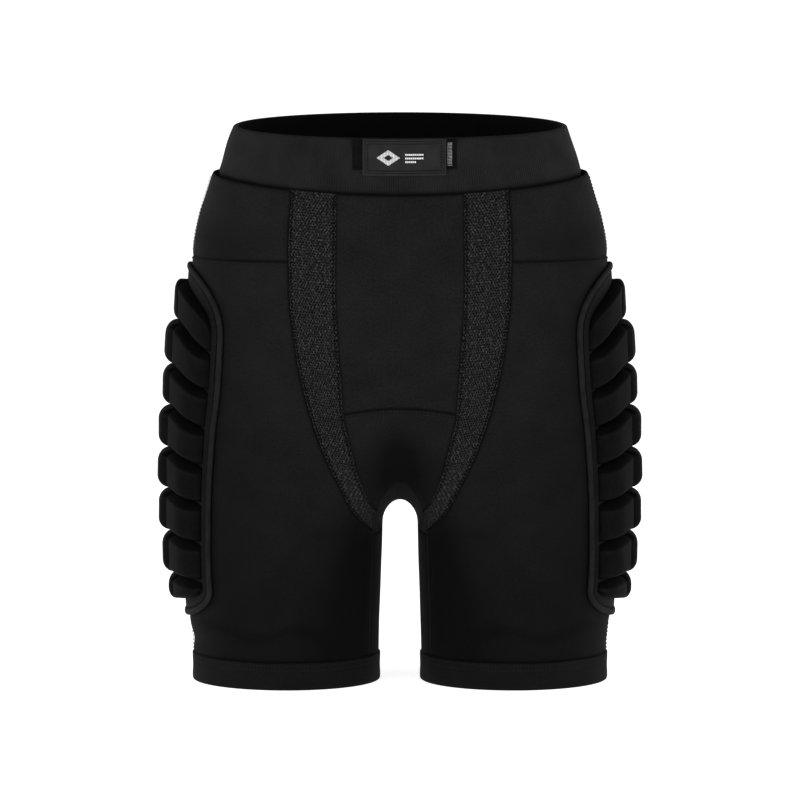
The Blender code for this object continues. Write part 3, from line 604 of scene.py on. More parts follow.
def inner_cloth(knit):
    split = (MESH_INNER_AT[0][0] - HEM_HEIGHT) / (CLEFT_TOP - HEM_HEIGHT)
    across = np.linspace(0.0, 1.0, 45)[None, :]
    rise = np.linspace(0.0, split, 60)[:, None]
    points = drawn_in(inner_point(across, rise), -TUCK)
    normals = inner_normal(across, rise)
    above_foot = smooth((points[..., 2] - MESH_OUTER_AT[0][0] + 1.0) / 2.0)
    under_net = smooth((NET_REACH - across) / 0.03) * above_foot
    relief = -TUCK_DEPTH - UNDER_NET * under_net
    for side, turn in SIDES:
        cloth_piece(f"inner_leg_{side}_cloth", f"inner_leg_panel_{side}", turn(points), turn(normals),
                    knit, relief=relief, seams="t", shadow=INNER_LEG_SHADOW)
    rise = (split + (1 - split) * np.sin(np.linspace(0.0, np.pi / 2, 26)))[:, None]
    points = inner_point(across, rise)
    normals = inner_normal(across, rise)
    points = drawn_in(np.concatenate([points, mirrored(points[-2::-1])]), -TUCK)
    normals = np.concatenate([normals, mirrored(normals[-2::-1])])
    under = np.full(points.shape[:2], -TUCK_DEPTH)
    cloth_piece("crotch_gusset_cloth", "crotch_gusset", points, normals, knit, relief=under, seams="",
                shadow=CROTCH_SHADOW)


# ---------------------------------------------------------------- open-mesh inserts

HOLE_PITCH = 2.7
ROW_PITCH = HOLE_PITCH * 0.82
HOLE_SHARPNESS = 1.6
HOLE_RADIUS = 1.0
HOLE_DEPTH = 0.85
NET_ALLOWANCE = 2.0
NET_SUNK = 0.3
NET_BACK = 0.4


def hole_pattern(points):
    """1 in the middle of each knitted hole and 0 on the threads, on a loose staggered lattice."""
    u, v = run_along(points)
    row = np.round(v / ROW_PITCH)
    shifted = u / HOLE_PITCH + 0.5 * (row % 2)
    column = np.round(shifted)
    wobble = np.sin(row * 12.9898 + column * 78.233) * 43758.5453
    wobble = wobble - np.floor(wobble)
    du = (shifted - column + 0.16 * (wobble - 0.5)) * HOLE_PITCH
    dv = v - row * ROW_PITCH + 0.3 * (wobble - 0.5)
    size = HOLE_RADIUS * (0.8 + 0.45 * wobble)
    return np.exp(-((du * du + dv * dv) / (size * size)) ** HOLE_SHARPNESS)


def inner_at(across, height):
    """Points and normals on the inside of the leg at a share across it and a height."""
    rise = (height - HEM_HEIGHT) / (crotch_line(across) - HEM_HEIGHT)
    return inner_point(across, rise), inner_normal(across, rise)


def net_grid(rows=430, turned=34, columns=84):
    """The insert from the waist down to the leg's inner edge, and on round the inside of the leg."""
    sides, heights = blend_rows(mesh_inner_edge(np.linspace(0.0, 1.0, rows)),
                                mesh_outer_edge(np.linspace(0.0, 1.0, rows)), columns)
    points = outer_point(sides, heights)
    normals = outer_normal(sides, heights)
    across = np.linspace(0.0, NET_REACH, turned + 1)[1:, None]
    height = heights[-1][None, :] + 0 * across
    more, facing = inner_at(across + 0 * height, height)
    return np.concatenate([points, more]), np.concatenate([normals, facing])


def mesh_inserts(net):
    points, normals = net_grid()
    points = drawn_in(points, EDGE_GAP)
    hole = hole_pattern(points)
    distance = border_distance(points)
    lift = rolled_in(points, distance) - NET_SUNK - HOLE_DEPTH * hole
    outer = points + normals * lift[..., None]
    under = drawn_in(points, -NET_ALLOWANCE)
    under[0] = points[0]
    inner = under - normals * (CLOTH + NET_BACK)
    for side, turn in SIDES:
        piece = shell(f"mesh_insert_{side}_net", turn(outer), turn(inner), net, crest=hole)
        finish_piece(piece, [f"mesh_insert_{side}"])


# ---------------------------------------------------------------- bands


def sweep(name, rings, material, crest=None):
    """A closed ring solid: rings[k] holds the section's points at step k, and both ways close."""
    steps, count = rings.shape[:2]
    k = np.arange(steps)[:, None]
    i = np.arange(count)[None, :]
    j = (i + 1) % count
    n = (k + 1) % steps
    quads = np.stack([k * count + i, k * count + j, n * count + j, n * count + i], -1)
    faces = quads.reshape(-1, 4).tolist()
    around = np.cumsum(np.linalg.norm(rings - np.roll(rings, 1, axis=0), axis=-1).mean(1))[:, None]
    section = np.linalg.norm(rings - np.roll(rings, 1, axis=1), axis=-1).mean(0)
    section = np.cumsum(section)[None, :]
    uvs = np.stack(np.broadcast_arrays(around, section), -1).reshape(-1, 2) * MM
    crest = np.broadcast_to(0.0 if crest is None else crest, (steps, count)).reshape(-1)
    made = make_object(name, to_world(rings).reshape(-1, 3), faces, material, uvs, crest)
    carry_round(made.data, (around[-1, 0] * MM, section[0, -1] * MM))
    return made


def carry_round(mesh, girths):
    """Lets the cloth coordinates run on over a ring's closing faces, without a jump back to 0."""
    layer = mesh.uv_layers["cloth"]
    uv = np.empty(len(mesh.loops) * 2, np.float32)
    layer.data.foreach_get("uv", uv)
    uv = uv.reshape(-1, 4, 2)
    for axis, girth in enumerate(girths):
        value = uv[..., axis]
        closing = np.ptp(value, axis=1)[:, None] > girth / 2
        uv[..., axis] = np.where(closing & (value < girth / 2), value + girth, value)
    layer.data.foreach_set("uv", uv.reshape(-1))


HEM_SECTION = [(0.0, -1.3), (0.0, 0.1), (0.5, 0.8), (1.6, 1.15), (4.0, 1.2), (8.0, 1.15),
               (12.0, 1.1), (15.4, 1.05), (16.3, 0.65), (17.2, 1.05), (18.6, 1.15), (19.8, 1.1),
               (20.5, 0.7), (21.2, 1.15), (22.1, 1.2), (22.6, 0.8), (22.75, 0.0), (22.75, -1.6),
               (26.0, -1.9), (26.0, -2.5), (20.0, -2.3), (12.0, -1.4), (2.0, -1.4)]
HEM_SHADE = 0.48


def from_centre(ring):
    """Level directions away from the middle of each level of a ring."""
    out = ring - (ring.max(axis=0) + ring.min(axis=0)) / 2
    out[..., 2] = 0.0
    return unit(out)


def hem_ring(section, steps=260):
    """Points of a section swept round the left hem, and the outward direction at each step."""
    angle = np.linspace(0.0, 2 * np.pi, steps, endpoint=False)[:, None]
    height = np.array([h for h, _ in section])[None, :]
    offset = np.array([o for _, o in section])[None, :]
    ring = leg_point(height, angle)
    out = from_centre(ring)
    face = smooth((offset + 0.5) / 0.8)
    ripple = 0.42 * np.sin(9 * angle + 1.1) * np.sin(2 * angle) * smooth(height / 8.0) * face
    tuck = bells(height, ((-0.5, 11.0, 3.5),)) * (0.5 + 0.5 * np.sin(13 * angle)) * face
    return ring + out * (offset + ripple + tuck)[..., None]


def hem_bands(knit):
    rings = hem_ring(HEM_SECTION)
    for side, turn in SIDES:
        piece = sweep(f"hem_band_{side}_cloth", turn(rings), knit, crest=HEM_SHADE)
        finish_piece(piece, [f"hem_band_{side}"])


def band_point(turn, share, inward):
    """On the waistband: turn 0 is the left side, share 0 the waist seam and 1 the rim."""
    side = 0.5 + np.arcsin(np.sin(turn)) / np.pi
    foot = seam_height(side) + 0.6
    height = foot + (RIM_HEIGHT - foot) * share
    wide = BAND_FOOT_HALF_WIDTH + (RIM_HALF_WIDTH - BAND_FOOT_HALF_WIDTH) * share - inward
    deep = BAND_FOOT_HALF_DEPTH + (RIM_HALF_DEPTH - BAND_FOOT_HALF_DEPTH) * share - inward
    return np.stack(np.broadcast_arrays(wide * np.cos(turn), deep * np.sin(turn), height), -1)


BAND_THICK = 4.4
BAND_TUCK = -0.08
BAND_CROWN = 0.9
BAND_FACE_TOP = 0.965
RIM_ROLL = 0.035
FOOT_PINCH = (1.3, 0.0, 0.035)
FOOT_SHADE = (0.85, 0.0, 0.035)


def waistband(knit):
    """The folded casing: a gently crowned outer face, a rolled rim and a plain inner face."""
    turn = np.linspace(0.0, 2 * np.pi, 540, endpoint=False)[:, None]
    rise = np.linspace(0.0, 1.0, 26)
    crown = -BAND_CROWN * np.sin(np.pi * np.clip(rise * 1.02, 0, 1)) ** 0.7
    crown = crown + bells(rise, (FOOT_PINCH,))
    fold = np.linspace(0.0, np.pi, 9)[1:-1]
    roll_in = BAND_THICK / 2 * (1 - np.cos(fold))
    roll_up = 1 + (np.sin(fold) - 1) * RIM_ROLL
    face_share = BAND_TUCK + rise * (BAND_FACE_TOP - BAND_TUCK)
    share = np.concatenate([face_share, roll_up, face_share[::-1]])
    inward = np.concatenate([crown, roll_in, BAND_THICK - 0.3 * np.sin(np.pi * rise)])
    puff = 0.35 * np.sin(23 * turn) * np.exp(-(share[None, :] / 0.13) ** 2)
    face = np.concatenate([np.ones(len(rise)), np.linspace(1, 0, len(fold)), np.zeros(len(rise))])
    wave = 0.28 * np.sin(5 * turn + 2.0) * np.sin(2.2 * np.pi * share)[None, :]
    rings = band_point(turn, share[None, :], inward[None, :] - (puff + wave) * face[None, :])
    # Painted shade: the inner face and the foot of the band are darkened in the colour.
    shade = np.maximum(1 - face, bells(np.maximum(share, 0.0), (FOOT_SHADE,)))
    piece = sweep("waistband_cloth", rings, knit, crest=shade[None, :])
    finish_piece(piece, ["waistband_casing"])


# ---------------------------------------------------------------- stitches


STITCH_AIM = 0.4
STITCH_SIDES = 6
STATIONS = ((-0.62, 0.75), (0.0, 1.0), (0.62, 0.75))
THREAD_WIDE = 1.25
THREAD_ARCH = 0.35
THREAD_SUNK = 0.5

# Each stitch is (length, gap, radius).
SEAM_STITCH = (2.3, 0.7, 0.30)
NET_STITCH = (2.2, 0.8, 0.60)
PAD_STITCH = (2.0, 0.6, 0.26)
STRIP_STITCH = (1.7, 0.6, 0.26)
LABEL_STITCH = (1.7, 0.5, 0.36)
MARK_STITCH = (1.3, 0.12, 0.30)
HOOK_STITCH = (0.8, 0.35, 0.30)


def sampled(values, reach, where):
    return np.stack([np.interp(where, reach, values[:, k]) for k in range(3)], -1)


def stitch_row(path, normals, length, gap, radius):
    """Thread stitches laid end to end along a path: their points, and the faces of each."""
    step = np.linalg.norm(np.diff(path, axis=0), axis=-1)
    reach = np.concatenate([[0.0], np.cumsum(step)])
    count = max(1, int(reach[-1] / (length + gap)))
    middle = (np.arange(count) + 0.5) * reach[-1] / count
    centre = sampled(path, reach, middle)
    out = unit(sampled(normals, reach, middle))
    ahead = sampled(path, reach, middle + STITCH_AIM)
    along_row = unit(ahead - sampled(path, reach, middle - STITCH_AIM))
    aside = unit(np.cross(along_row, out))
    sides = STITCH_SIDES
    angle = np.arange(sides) * 2 * np.pi / sides
    sunk = centre - out * radius * THREAD_SUNK
    points = [sunk - along_row * length / 2]
    for place, size in STATIONS:
        for a in angle:
            ray = out * math.sin(a) + aside * math.cos(a) * THREAD_WIDE
            lift = out * radius * THREAD_ARCH * (1 - place * place)
            points.append(centre + along_row * length / 2 * place + ray * radius * size + lift)
    points.append(sunk + along_row * length / 2)
    points = np.stack(points, 1)
    last = 1 + sides * len(STATIONS)
    shape = []
    for i in range(sides):
        j = (i + 1) % sides
        shape.append((0, 1 + i, 1 + j))
        shape.append((last, 1 + sides * 2 + j, 1 + sides * 2 + i))
        for ring in range(len(STATIONS) - 1):
            a = 1 + ring * sides
            shape.append((a + i, a + sides + i, a + sides + j, a + j))
    return points, shape


def stitches(name, rows, material, body=SHORTS, stitch=SEAM_STITCH):
    """One object for all the stitch rows of a piece. rows is a list of (path, normals)."""
    points = []
    faces = []
    start = 0
    for path, normals in rows:
        made, shape = stitch_row(path, normals, *stitch)
        for k in range(len(made)):
            faces += [tuple(start + k * made.shape[1] + i for i in face) for face in shape]
        points.append(made.reshape(-1, 3))
        start += made.shape[0] * made.shape[1]
    piece = make_object(name, to_world(np.concatenate(points)), faces, material)
    return finish_piece(piece, [], body)


def surface_row(sides, heights, lift=0.15):
    points = outer_point(sides, heights)
    normals = outer_normal(sides, heights)
    points = points + normals * (ease(points) + lift)[:, None]
    return points, normals


def both_sides(rows):
    return rows + [(mirrored(path), mirrored(normals)) for path, normals in rows]


YOKE_STITCH_DROP = 2.2
ARCH_STITCH_DROPS = (1.8, 4.2)
SEAM_STITCH_ASIDE = 0.0045
NET_STITCH_LIFT = -0.2
HEM_STITCHES = ((16.3, 0.80), (20.5, 0.85))


def body_stitching(skins):
    t = np.linspace(0.0, 1.0, 120)
    start = mesh_outer_edge(np.array([YOKE_STOP / ROW_STOPS]))[0][0] + 0.006
    yoke = YOKE_SEAM_INNER + (YOKE_SEAM_SIDE - YOKE_SEAM_INNER) * t
    rows = [surface_row(start + (0.5 - start) * t, yoke - YOKE_STITCH_DROP),
            surface_row(1 - 0.5 * t, YOKE_SEAM_SIDE - YOKE_STITCH_DROP + 0 * t)]

    arc_side = mesh_inner_edge(np.array([ARCH_STOP / ROW_STOPS]))[0][0]
    x = t * 0.97
    bow = ARCH_SEAM_EDGE + (ARCH_SEAM_CENTRE - ARCH_SEAM_EDGE) * (1 - x * x)
    for drop in ARCH_STITCH_DROPS:
        rows.append(surface_row(np.maximum(arc_side * x, TINY), bow - drop))

    side, height = seat_edge(np.linspace(0.01, 0.98, 200))
    rows.append(surface_row(side - SEAM_STITCH_ASIDE, height))
    low = np.linspace(HEM_HEIGHT + 1.0, 47.0, 30)
    high = np.linspace(YOKE_SEAM_SIDE + 4.0, SEAM_SIDE - 3.0, 60)
    for offset in (-SEAM_STITCH_ASIDE, SEAM_STITCH_ASIDE):
        rows += [surface_row(0.5 + offset + 0 * line, line) for line in (low, high)]
    stitches("seam_stitches", both_sides(rows), skins["thread"])

    u = np.linspace(0.005, 0.985, 240)
    side, height = mesh_inner_edge(u)
    rows = [surface_row(side + 0.0040, height, NET_STITCH_LIFT)]
    side, height = mesh_outer_edge(u)
    rows.append(surface_row(np.maximum(side - 0.0042, NEAR_CENTRE), height, NET_STITCH_LIFT))
    stitches("net_edge_stitches", both_sides(rows), skins["dark_thread"],
             stitch=NET_STITCH)

    rows = []
    for height, offset in HEM_STITCHES:
        ring = hem_ring([(height, offset)])[:, 0]
        ring = np.concatenate([ring, ring[:1]])
        rows.append((ring, from_centre(ring)))
    stitches("hem_stitches", both_sides(rows), skins["thread"])


# ---------------------------------------------------------------- pads

PAD_LIFT = 1.0
BACKING = 2.0
FOAM_CLEAR = 0.5
PAD_MARGIN = 10.0
PAD_CORNER = 2.2
TAPER_RANGE = 90.0
GROOVE_HALF = 1.5
GROOVE_BOW = 1.5
PIPING_HALF = 2.75
PIPING_MIDDLE = 1.55
PIPING_HIGH = 1.75
PIPING_SQUARE = 0.8
FLANGE_GAP = 0.4
FLANGE_PUFF = 0.25
FOAM_SUNK = 0.4


def hip_surface(across, height):
    side = bisect(0.2, 0.8, lambda s: outer_point(s, height)[..., 1], across)
    return outer_point(side, height), outer_normal(side, height)


def seat_surface(across, height):
    side = back_side_at(np.abs(across), height)
    flip = x_scaled(sign(across))
    normal = outer_normal(np.minimum(side, 1 - NEAR_CENTRE), height)
    fade = x_scaled(smooth(np.abs(across) / 2.0))
    return outer_point(side, height) * flip, unit(normal * fade) * flip


HIP = {
    "name": "hip_pad", "surface": hip_surface,
    "top": 346.0, "shoulder": 290.0, "heel": 82.0, "bottom": 54.0,
    "half": 64.0, "taper": 4.5, "column": 17.5, "end_margin": 14.0,
    "grooves": [298.0, 262.0, 228.0, 193.0, 159.0, 124.0, 89.5],
    "falls": [21.0, 17.0, 14.0, 10.5, 7.5, 5.5, 2.0],
    "centre": [10.2, 16.0, 17.2, 20.5, 21.3, 20.5, 17.5, 13.3],
    "flank": [9.5, 13.5, 15.0, 16.0, 16.5, 16.5, 14.5, 11.5],
}
SEAT = {
    "name": "seat_pad", "surface": seat_surface,
    "top": 346.0, "shoulder": 322.0, "heel": 230.0, "bottom": 192.0,
    "half": 66.0, "taper": 0.0, "column": 19.0, "end_margin": 10.0,
    "grooves": [316.0, 284.0, 252.0],
    "falls": [8.0, 10.0, 10.0],
    "centre": [13.7, 15.7, 15.7, 12.7],
    "flank": [11.7, 13.7, 13.7, 10.7],
}


def half_width(pad, height, inside=0.0):
    """Half the pad's width at a height, for an outline drawn in by inside."""
    above = (height - pad["shoulder"]) / (pad["top"] - inside - pad["shoulder"])
    below = (pad["heel"] - height) / (pad["heel"] - pad["bottom"] - inside)
    reach = np.clip(np.maximum(above, below), 0.0, 1.0)
    half = pad["half"] - pad["taper"] * smooth((pad["shoulder"] - height) / TAPER_RANGE)
    return (half - inside) * (1 - reach ** PAD_CORNER) ** (1 / PAD_CORNER)


def groove(pad, index, distance):
    outside = np.maximum(0.0, np.abs(distance) - pad["column"])
    beyond = outside / (pad["half"] - PAD_MARGIN - pad["column"])
    return pad["grooves"][index] - pad["falls"][index] * beyond ** GROOVE_BOW


def row_limits(pad, index, distance):
    share = np.minimum(np.abs(distance) / (pad["half"] - PAD_MARGIN), 1.0)
    rounded = 1 - (1 - share ** PAD_CORNER) ** (1 / PAD_CORNER)
    if index == 0:
        crown = pad["top"] - pad["end_margin"]
        high = crown - (crown - pad["shoulder"]) * rounded * 0.8
    else:
        high = groove(pad, index - 1, distance) - GROOVE_HALF
    if index == len(pad["grooves"]):
        sole = pad["bottom"] + pad["end_margin"]
        low = sole + (pad["heel"] - sole) * 0.75 * rounded
    else:
        low = groove(pad, index, distance) + GROOVE_HALF
    return high, low


def rounded_edge(distance, radius, floor, power=2.4):
    """0 at an edge rising as a quarter round to 1, starting from a floor value."""
    t = np.clip(distance / radius, 0.0, 1.0)
    return floor + (1 - floor) * (1 - (1 - t) ** power) ** (1 / power)


UPPER_ROUND = 6.5
LOWER_ROUND = 5.0
CENTRE_ROUND = 4.0
END_ROUND = 13.0
FOAM_POWER = 2.2
WEB = 0.08
CENTRE_WEB = 0.40
PRESS_LINE = (-0.34, 0.0, 1.9)
# Painted light on the foam cover: highlights along the block edges, and shade along the lower edge and
# in a dark band under each upper edge.
UPPER_HIGHLIGHT = (0.4, 6.0, 1.6)
COLUMN_HIGHLIGHT = (0.6, 2.4, 1.1)
LOWER_HIGHLIGHT = (0.25, 3.0, 1.5)
LOWER_SHADE = (-1.6, 0.0, 1.5)
UPPER_SHADE = -3.2
UPPER_SHADE_REACH = 3.8


def foam_row(pad, index):
    """One cross-row of foam: its top and bottom grids, and the painted highlights and painted shade on
    its cover.
    """
    reach = pad["half"] - PAD_MARGIN
    distance = np.linspace(-reach, reach, 105)[None, :]
    v = np.sin(np.linspace(-np.pi / 2, np.pi / 2, 35))[:, None]
    high, low = row_limits(pad, index, distance)
    height = (high + low) / 2 + (high - low) / 2 * v
    limit = half_width(pad, height, PAD_MARGIN)
    across = distance * np.minimum(1.0, limit / reach)
    upper = (1 - v) * (high - low) / 2
    lower = (1 + v) * (high - low) / 2
    end_edge = (reach - np.abs(distance)) * np.minimum(1.0, limit / reach) + 0 * v
    column_edge = np.abs(np.abs(distance) - pad["column"]) + 0 * v
    flank = smooth((np.abs(distance) - pad["column"] + 2.0) / 4.0)
    thick = pad["centre"][index] * (1 - flank) + pad["flank"][index] * flank
    web = WEB + CENTRE_WEB * (1 - flank)
    more = CENTRE_ROUND * (1 - flank)
    shape = rounded_edge(upper, UPPER_ROUND + more, web, FOAM_POWER)
    shape = shape * rounded_edge(lower, LOWER_ROUND + more, web, FOAM_POWER)
    shape = shape * rounded_edge(end_edge, END_ROUND, WEB, FOAM_POWER)
    shape = shape * (1 + bells(column_edge, (PRESS_LINE,)))
    base = PAD_LIFT + BACKING + FOAM_CLEAR
    point, normal = pad["surface"](across, height)
    dimple = 0.18 * np.sin(across / 9.0 + index) * np.sin(height / 7.0)
    top = point + normal * (base + thick * shape + dimple)[..., None]
    bottom = point + normal * (base - FOAM_SUNK)
    # Painted highlights and painted shade, carried to the cover's colour by the crest attribute.
    crest = bells(upper, (UPPER_HIGHLIGHT,)) + bells(column_edge, (COLUMN_HIGHLIGHT,))
    crest = crest + bells(lower, (LOWER_HIGHLIGHT, LOWER_SHADE))
    crest = crest + UPPER_SHADE * np.exp(-(upper / UPPER_SHADE_REACH) ** 4)
    return top, bottom, crest


def outline(pad, inside, steps):
    """The closed outline of a pad, drawn in by inside, as evenly spaced (across, height)."""
    turn = np.linspace(0.0, 2 * np.pi, 721)
    mid = (pad["top"] + pad["bottom"]) / 2
    height = mid + ((pad["top"] - pad["bottom"]) / 2 - inside) * np.sin(turn)
    across = half_width(pad, height, inside) * sign(np.cos(turn))
    reach = np.concatenate([[0.0], np.cumsum(np.hypot(np.diff(across), np.diff(height)))])
    wanted = np.linspace(0.0, reach[-1], steps, endpoint=False)
    return np.interp(wanted, reach, across), np.interp(wanted, reach, height)


FLANGE_SHARES = (0.02, 0.2, 0.4, 0.6, 0.75, 0.85, 0.9, 0.925, 0.945, 0.96, 0.975, 0.99, 1.0)
FLANGE_DENTS = ((-0.55, 2.2, 0.9), (-0.9, 0.0, 0.8))


def backing(pad):
    """The pressed flange: a polar grid inside the border, dented where it is stitched."""
    across, height = outline(pad, 2 * PIPING_HALF + FLANGE_GAP, 200)
    mid = (pad["top"] + pad["bottom"]) / 2
    share = np.array(FLANGE_SHARES)[:, None]
    grid_across = across[None, :] * share
    grid_height = mid + (height - mid)[None, :] * share
    point, normal = pad["surface"](grid_across, grid_height)
    from_edge = (1 - share) * np.hypot(across, height - mid)[None, :]
    dent = bells(from_edge, FLANGE_DENTS)
    top = point + normal * (PAD_LIFT + BACKING + FLANGE_PUFF + dent)[..., None]
    bottom = point + normal * PAD_LIFT
    return top, bottom


def border(pad):
    """The rolled edge: a flattened tube that follows the outline."""
    across, height = outline(pad, PIPING_HALF, 260)
    point, normal = pad["surface"](across, height)
    ahead = unit(np.roll(point, -1, axis=0) - np.roll(point, 1, axis=0))
    aside = unit(np.cross(ahead, normal))
    turn = np.linspace(0.0, 2 * np.pi, 14, endpoint=False)
    cos, sin = (np.sign(v) * np.abs(v) ** PIPING_SQUARE for v in (np.cos(turn), np.sin(turn)))
    rise = (PAD_LIFT + PIPING_MIDDLE + PIPING_HIGH * sin)[None, :, None]
    return (point[:, None] + normal[:, None] * rise
            + aside[:, None] * (PIPING_HALF * cos)[None, :, None])


def flange_rows(pad, inside, lift):
    across, height = outline(pad, inside, 400)
    point, normal = pad["surface"](across, height)
    path = point + normal * lift
    return np.concatenate([path, path[:1]]), np.concatenate([normal, normal[:1]])


def capped_shell(name, top, bottom, material):
    """A closed disc-like solid from two polar grids whose first ring is a small hole, filled."""
    rings, columns = top.shape[:2]
    grids = stacked(top, bottom)
    half = rings * columns
    faces = grid_faces(rings, columns, True) + grid_faces(rings, columns, True, half, True)
    last = (rings - 1) * columns
    for c in range(columns):
        n = (c + 1) % columns
        faces.append((last + c, last + n, half + last + n, half + last + c))
    faces.append(tuple(range(columns)))
    faces.append(tuple(half + c for c in range(columns)))
    return make_object(name, to_world(grids), faces, material, grids[:, 1:] * MM, np.zeros(len(grids)))


def build_pad(pad, skins, sides):
    flange = backing(pad)
    rolled = border(pad)
    rows = [foam_row(pad, index) for index in range(len(pad["grooves"]) + 1)]
    stitch_path = flange_rows(pad, 2 * PIPING_HALF + 2.5, PAD_LIFT + BACKING - 0.1)
    for side, turn in sides:
        stem = pad["name"] + (f"_{side}" if side else "")
        piece = capped_shell(f"{stem}_flange", turn(flange[0]), turn(flange[1]), skins["pad_backing"])
        finish_piece(piece, [f"{stem}_backing"])
        piece = sweep(f"{stem}_rolled_edge", turn(rolled), skins["piping"])
        finish_piece(piece, [f"{stem}_border"])
        for index, (top, bottom, crest) in enumerate(rows):
            name = f"{stem}_foam_{index + 1}"
            piece = shell(name, turn(top), turn(bottom), skins["pad_cover"], crest=crest)
            finish_piece(piece, [f"{stem}_segment_{index + 1}"])
        path = (turn(stitch_path[0]), turn(stitch_path[1]))
        stitches(f"{stem}_stitches", [path], skins["thread"], stitch=PAD_STITCH)


# ---------------------------------------------------------------- waist closure

STRIP_LEFT = -39.4
STRIP_RIGHT = 46.5
STRIP_HEIGHT = 27.0
STRIP_CLOTH = 1.2
TAB_LEFT = -30.3
TAB_RIGHT = 37.4
TAB_HEIGHT = 31.5
TAB_LOW = 2.9
TAB_CLOTH = 1.4
RIM_SHARE = 0.985


def band_surface(x, share):
    """Points and outward normals on the front face of the plain waistband cone."""
    wide = BAND_FOOT_HALF_WIDTH + (RIM_HALF_WIDTH - BAND_FOOT_HALF_WIDTH) * share
    turn = -np.arccos(x / wide)
    point = band_point(turn, share, 0.0)
    step = SHARE_STEP
    across = band_point(turn + step, share, 0.0) - band_point(turn - step, share, 0.0)
    up = band_point(turn, share + step, 0.0) - band_point(turn, share - step, 0.0)
    return point, unit(np.cross(across, up))


def band_slope():
    return math.hypot(RIM_HEIGHT - SEAM_FRONT, BAND_FOOT_HALF_DEPTH - RIM_HALF_DEPTH)


PATCH_COLUMNS = 141
PATCH_ROWS = 61
PATCH_HEM = 3.0
STITCH_DENT = (-0.22, 2.0, 0.45)


def tape_patch(name, node, left, right, height, low, thick, skin, body, hem=0.0, detail=0.0):
    """A flat cloth patch on the band: rounded edges, a turned hem and a little unevenness."""
    x = np.linspace(left, right, PATCH_COLUMNS)[None, :]
    share = np.linspace(1 - height / band_slope(), RIM_SHARE, PATCH_ROWS)[:, None]
    x, share = np.broadcast_arrays(x, share)
    point, normal = band_surface(x, share)
    edge = border_distance(point)
    lift = thick * rounded_edge(edge, 0.9, 0.25)
    lift = lift + hem * (1 - smooth((edge - PATCH_HEM) / 0.7)) * smooth(edge / 0.8)
    lift = lift + bells(edge, (STITCH_DENT,))
    lift = lift + detail * np.sin(x / 5.3) * np.sin(share * 17.0)
    top = point + normal * (low + lift)[..., None]
    bottom = point + normal * low
    piece = shell(name, top, bottom, skin, crest=np.clip(1 - edge / PATCH_HEM, 0, 1))
    finish_piece(piece, [node], body)


def traced(corners, steps):
    """Evenly spaced x and y along straight lines from corner to corner."""
    pairs = list(zip(corners, corners[1:]))
    return [np.concatenate([np.linspace(a[k], b[k], steps)[:-1] for a, b in pairs]
                           + [[corners[-1][k]]]) for k in (0, 1)]


def patch_border(left, right, height, inside, lift):
    """A closed path inside a patch's edge, for its stitches."""
    shares = (1 - (height - inside) / band_slope(), RIM_SHARE - inside / band_slope())
    xs = (left + inside, right - inside)
    corners = [(xs[i], shares[j]) for i, j in ((0, 0), (1, 0), (1, 1), (0, 1), (0, 0))]
    point, normal = band_surface(*traced(corners, 40))
    return point + normal * lift, normal


def closure(skins):
    low = BAND_CROWN + 0.1
    top = TAB_LOW + TAB_CLOTH
    thread = skins["label_thread"]
    tape_patch("loop_strip_tape", "loop_strip", STRIP_LEFT, STRIP_RIGHT, STRIP_HEIGHT, low - 0.5,
               STRIP_CLOTH, skins["loop_tape"], SHORTS)
    rows = [patch_border(STRIP_LEFT, STRIP_RIGHT, STRIP_HEIGHT, 2.0, low + 0.65)]
    stitches("loop_strip_stitches", rows, thread, SHORTS, STRIP_STITCH)
    tape_patch("label_tab_cloth", "label_tab", TAB_LEFT, TAB_RIGHT, TAB_HEIGHT, TAB_LOW,
               TAB_CLOTH, skins["label_cloth"], TAB, hem=0.35, detail=0.12)
    rows = [patch_border(TAB_LEFT, TAB_RIGHT, TAB_HEIGHT, inside, top + lift)
            for inside, lift in ((2.0, 0.12), (4.2, 0.0))]
    stitches("label_tab_stitches", rows, thread, TAB, LABEL_STITCH)
    tape_patch("hook_patch_tape", "hook_patch", TAB_LEFT + 7.0, TAB_RIGHT - 2.0,
               STRIP_HEIGHT - 4.0, 1.85, 0.8, skins["hook_tape"], TAB)
    woven_mark(skins["mark"])
    hook_bristles(skins["hook_ends"])


MARK_HALF_WIDTH = 8.8
MARK_HALF_HEIGHT = 6.2
MARK_LINE = 3.2
MARK_ASIDE = 13.0
MARK_LIFT = 0.18
BARS = ((2.6, 15.0), (-0.4, 15.0), (-3.4, 9.0))
BAR_START = 0.5


def woven_mark(thread):
    """A plain white lozenge outline with three bars beside it, raised like embroidery."""
    middle = (TAB_LEFT + TAB_RIGHT) / 2
    lines = []
    for inset in np.linspace(0.0, MARK_LINE, 5):
        wide, high = MARK_HALF_WIDTH - inset * 1.4, MARK_HALF_HEIGHT - inset
        lines.append((middle - MARK_ASIDE, [(0, high), (wide, 0), (0, -high), (-wide, 0), (0, high)]))
    for bar, reach in BARS:
        for y in (bar - 0.45, bar, bar + 0.45):
            lines.append((middle, [(BAR_START, y), (BAR_START + reach, y)]))
    rows = [on_tab(x0, *traced(corners, 20)) for x0, corners in lines]
    piece = stitches("label_mark_thread", rows, thread, TAB, MARK_STITCH)
    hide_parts("label_mark")


def on_tab(x0, x, y):
    centre = RIM_SHARE - TAB_HEIGHT / 2 / band_slope()
    point, normal = band_surface(x0 + x, centre + y / band_slope())
    return point + normal * (TAB_LOW + TAB_CLOTH + MARK_LIFT), normal


HOOK_COLUMNS = 4
HOOK_START = 1.6
HOOK_MARGIN = 3.2


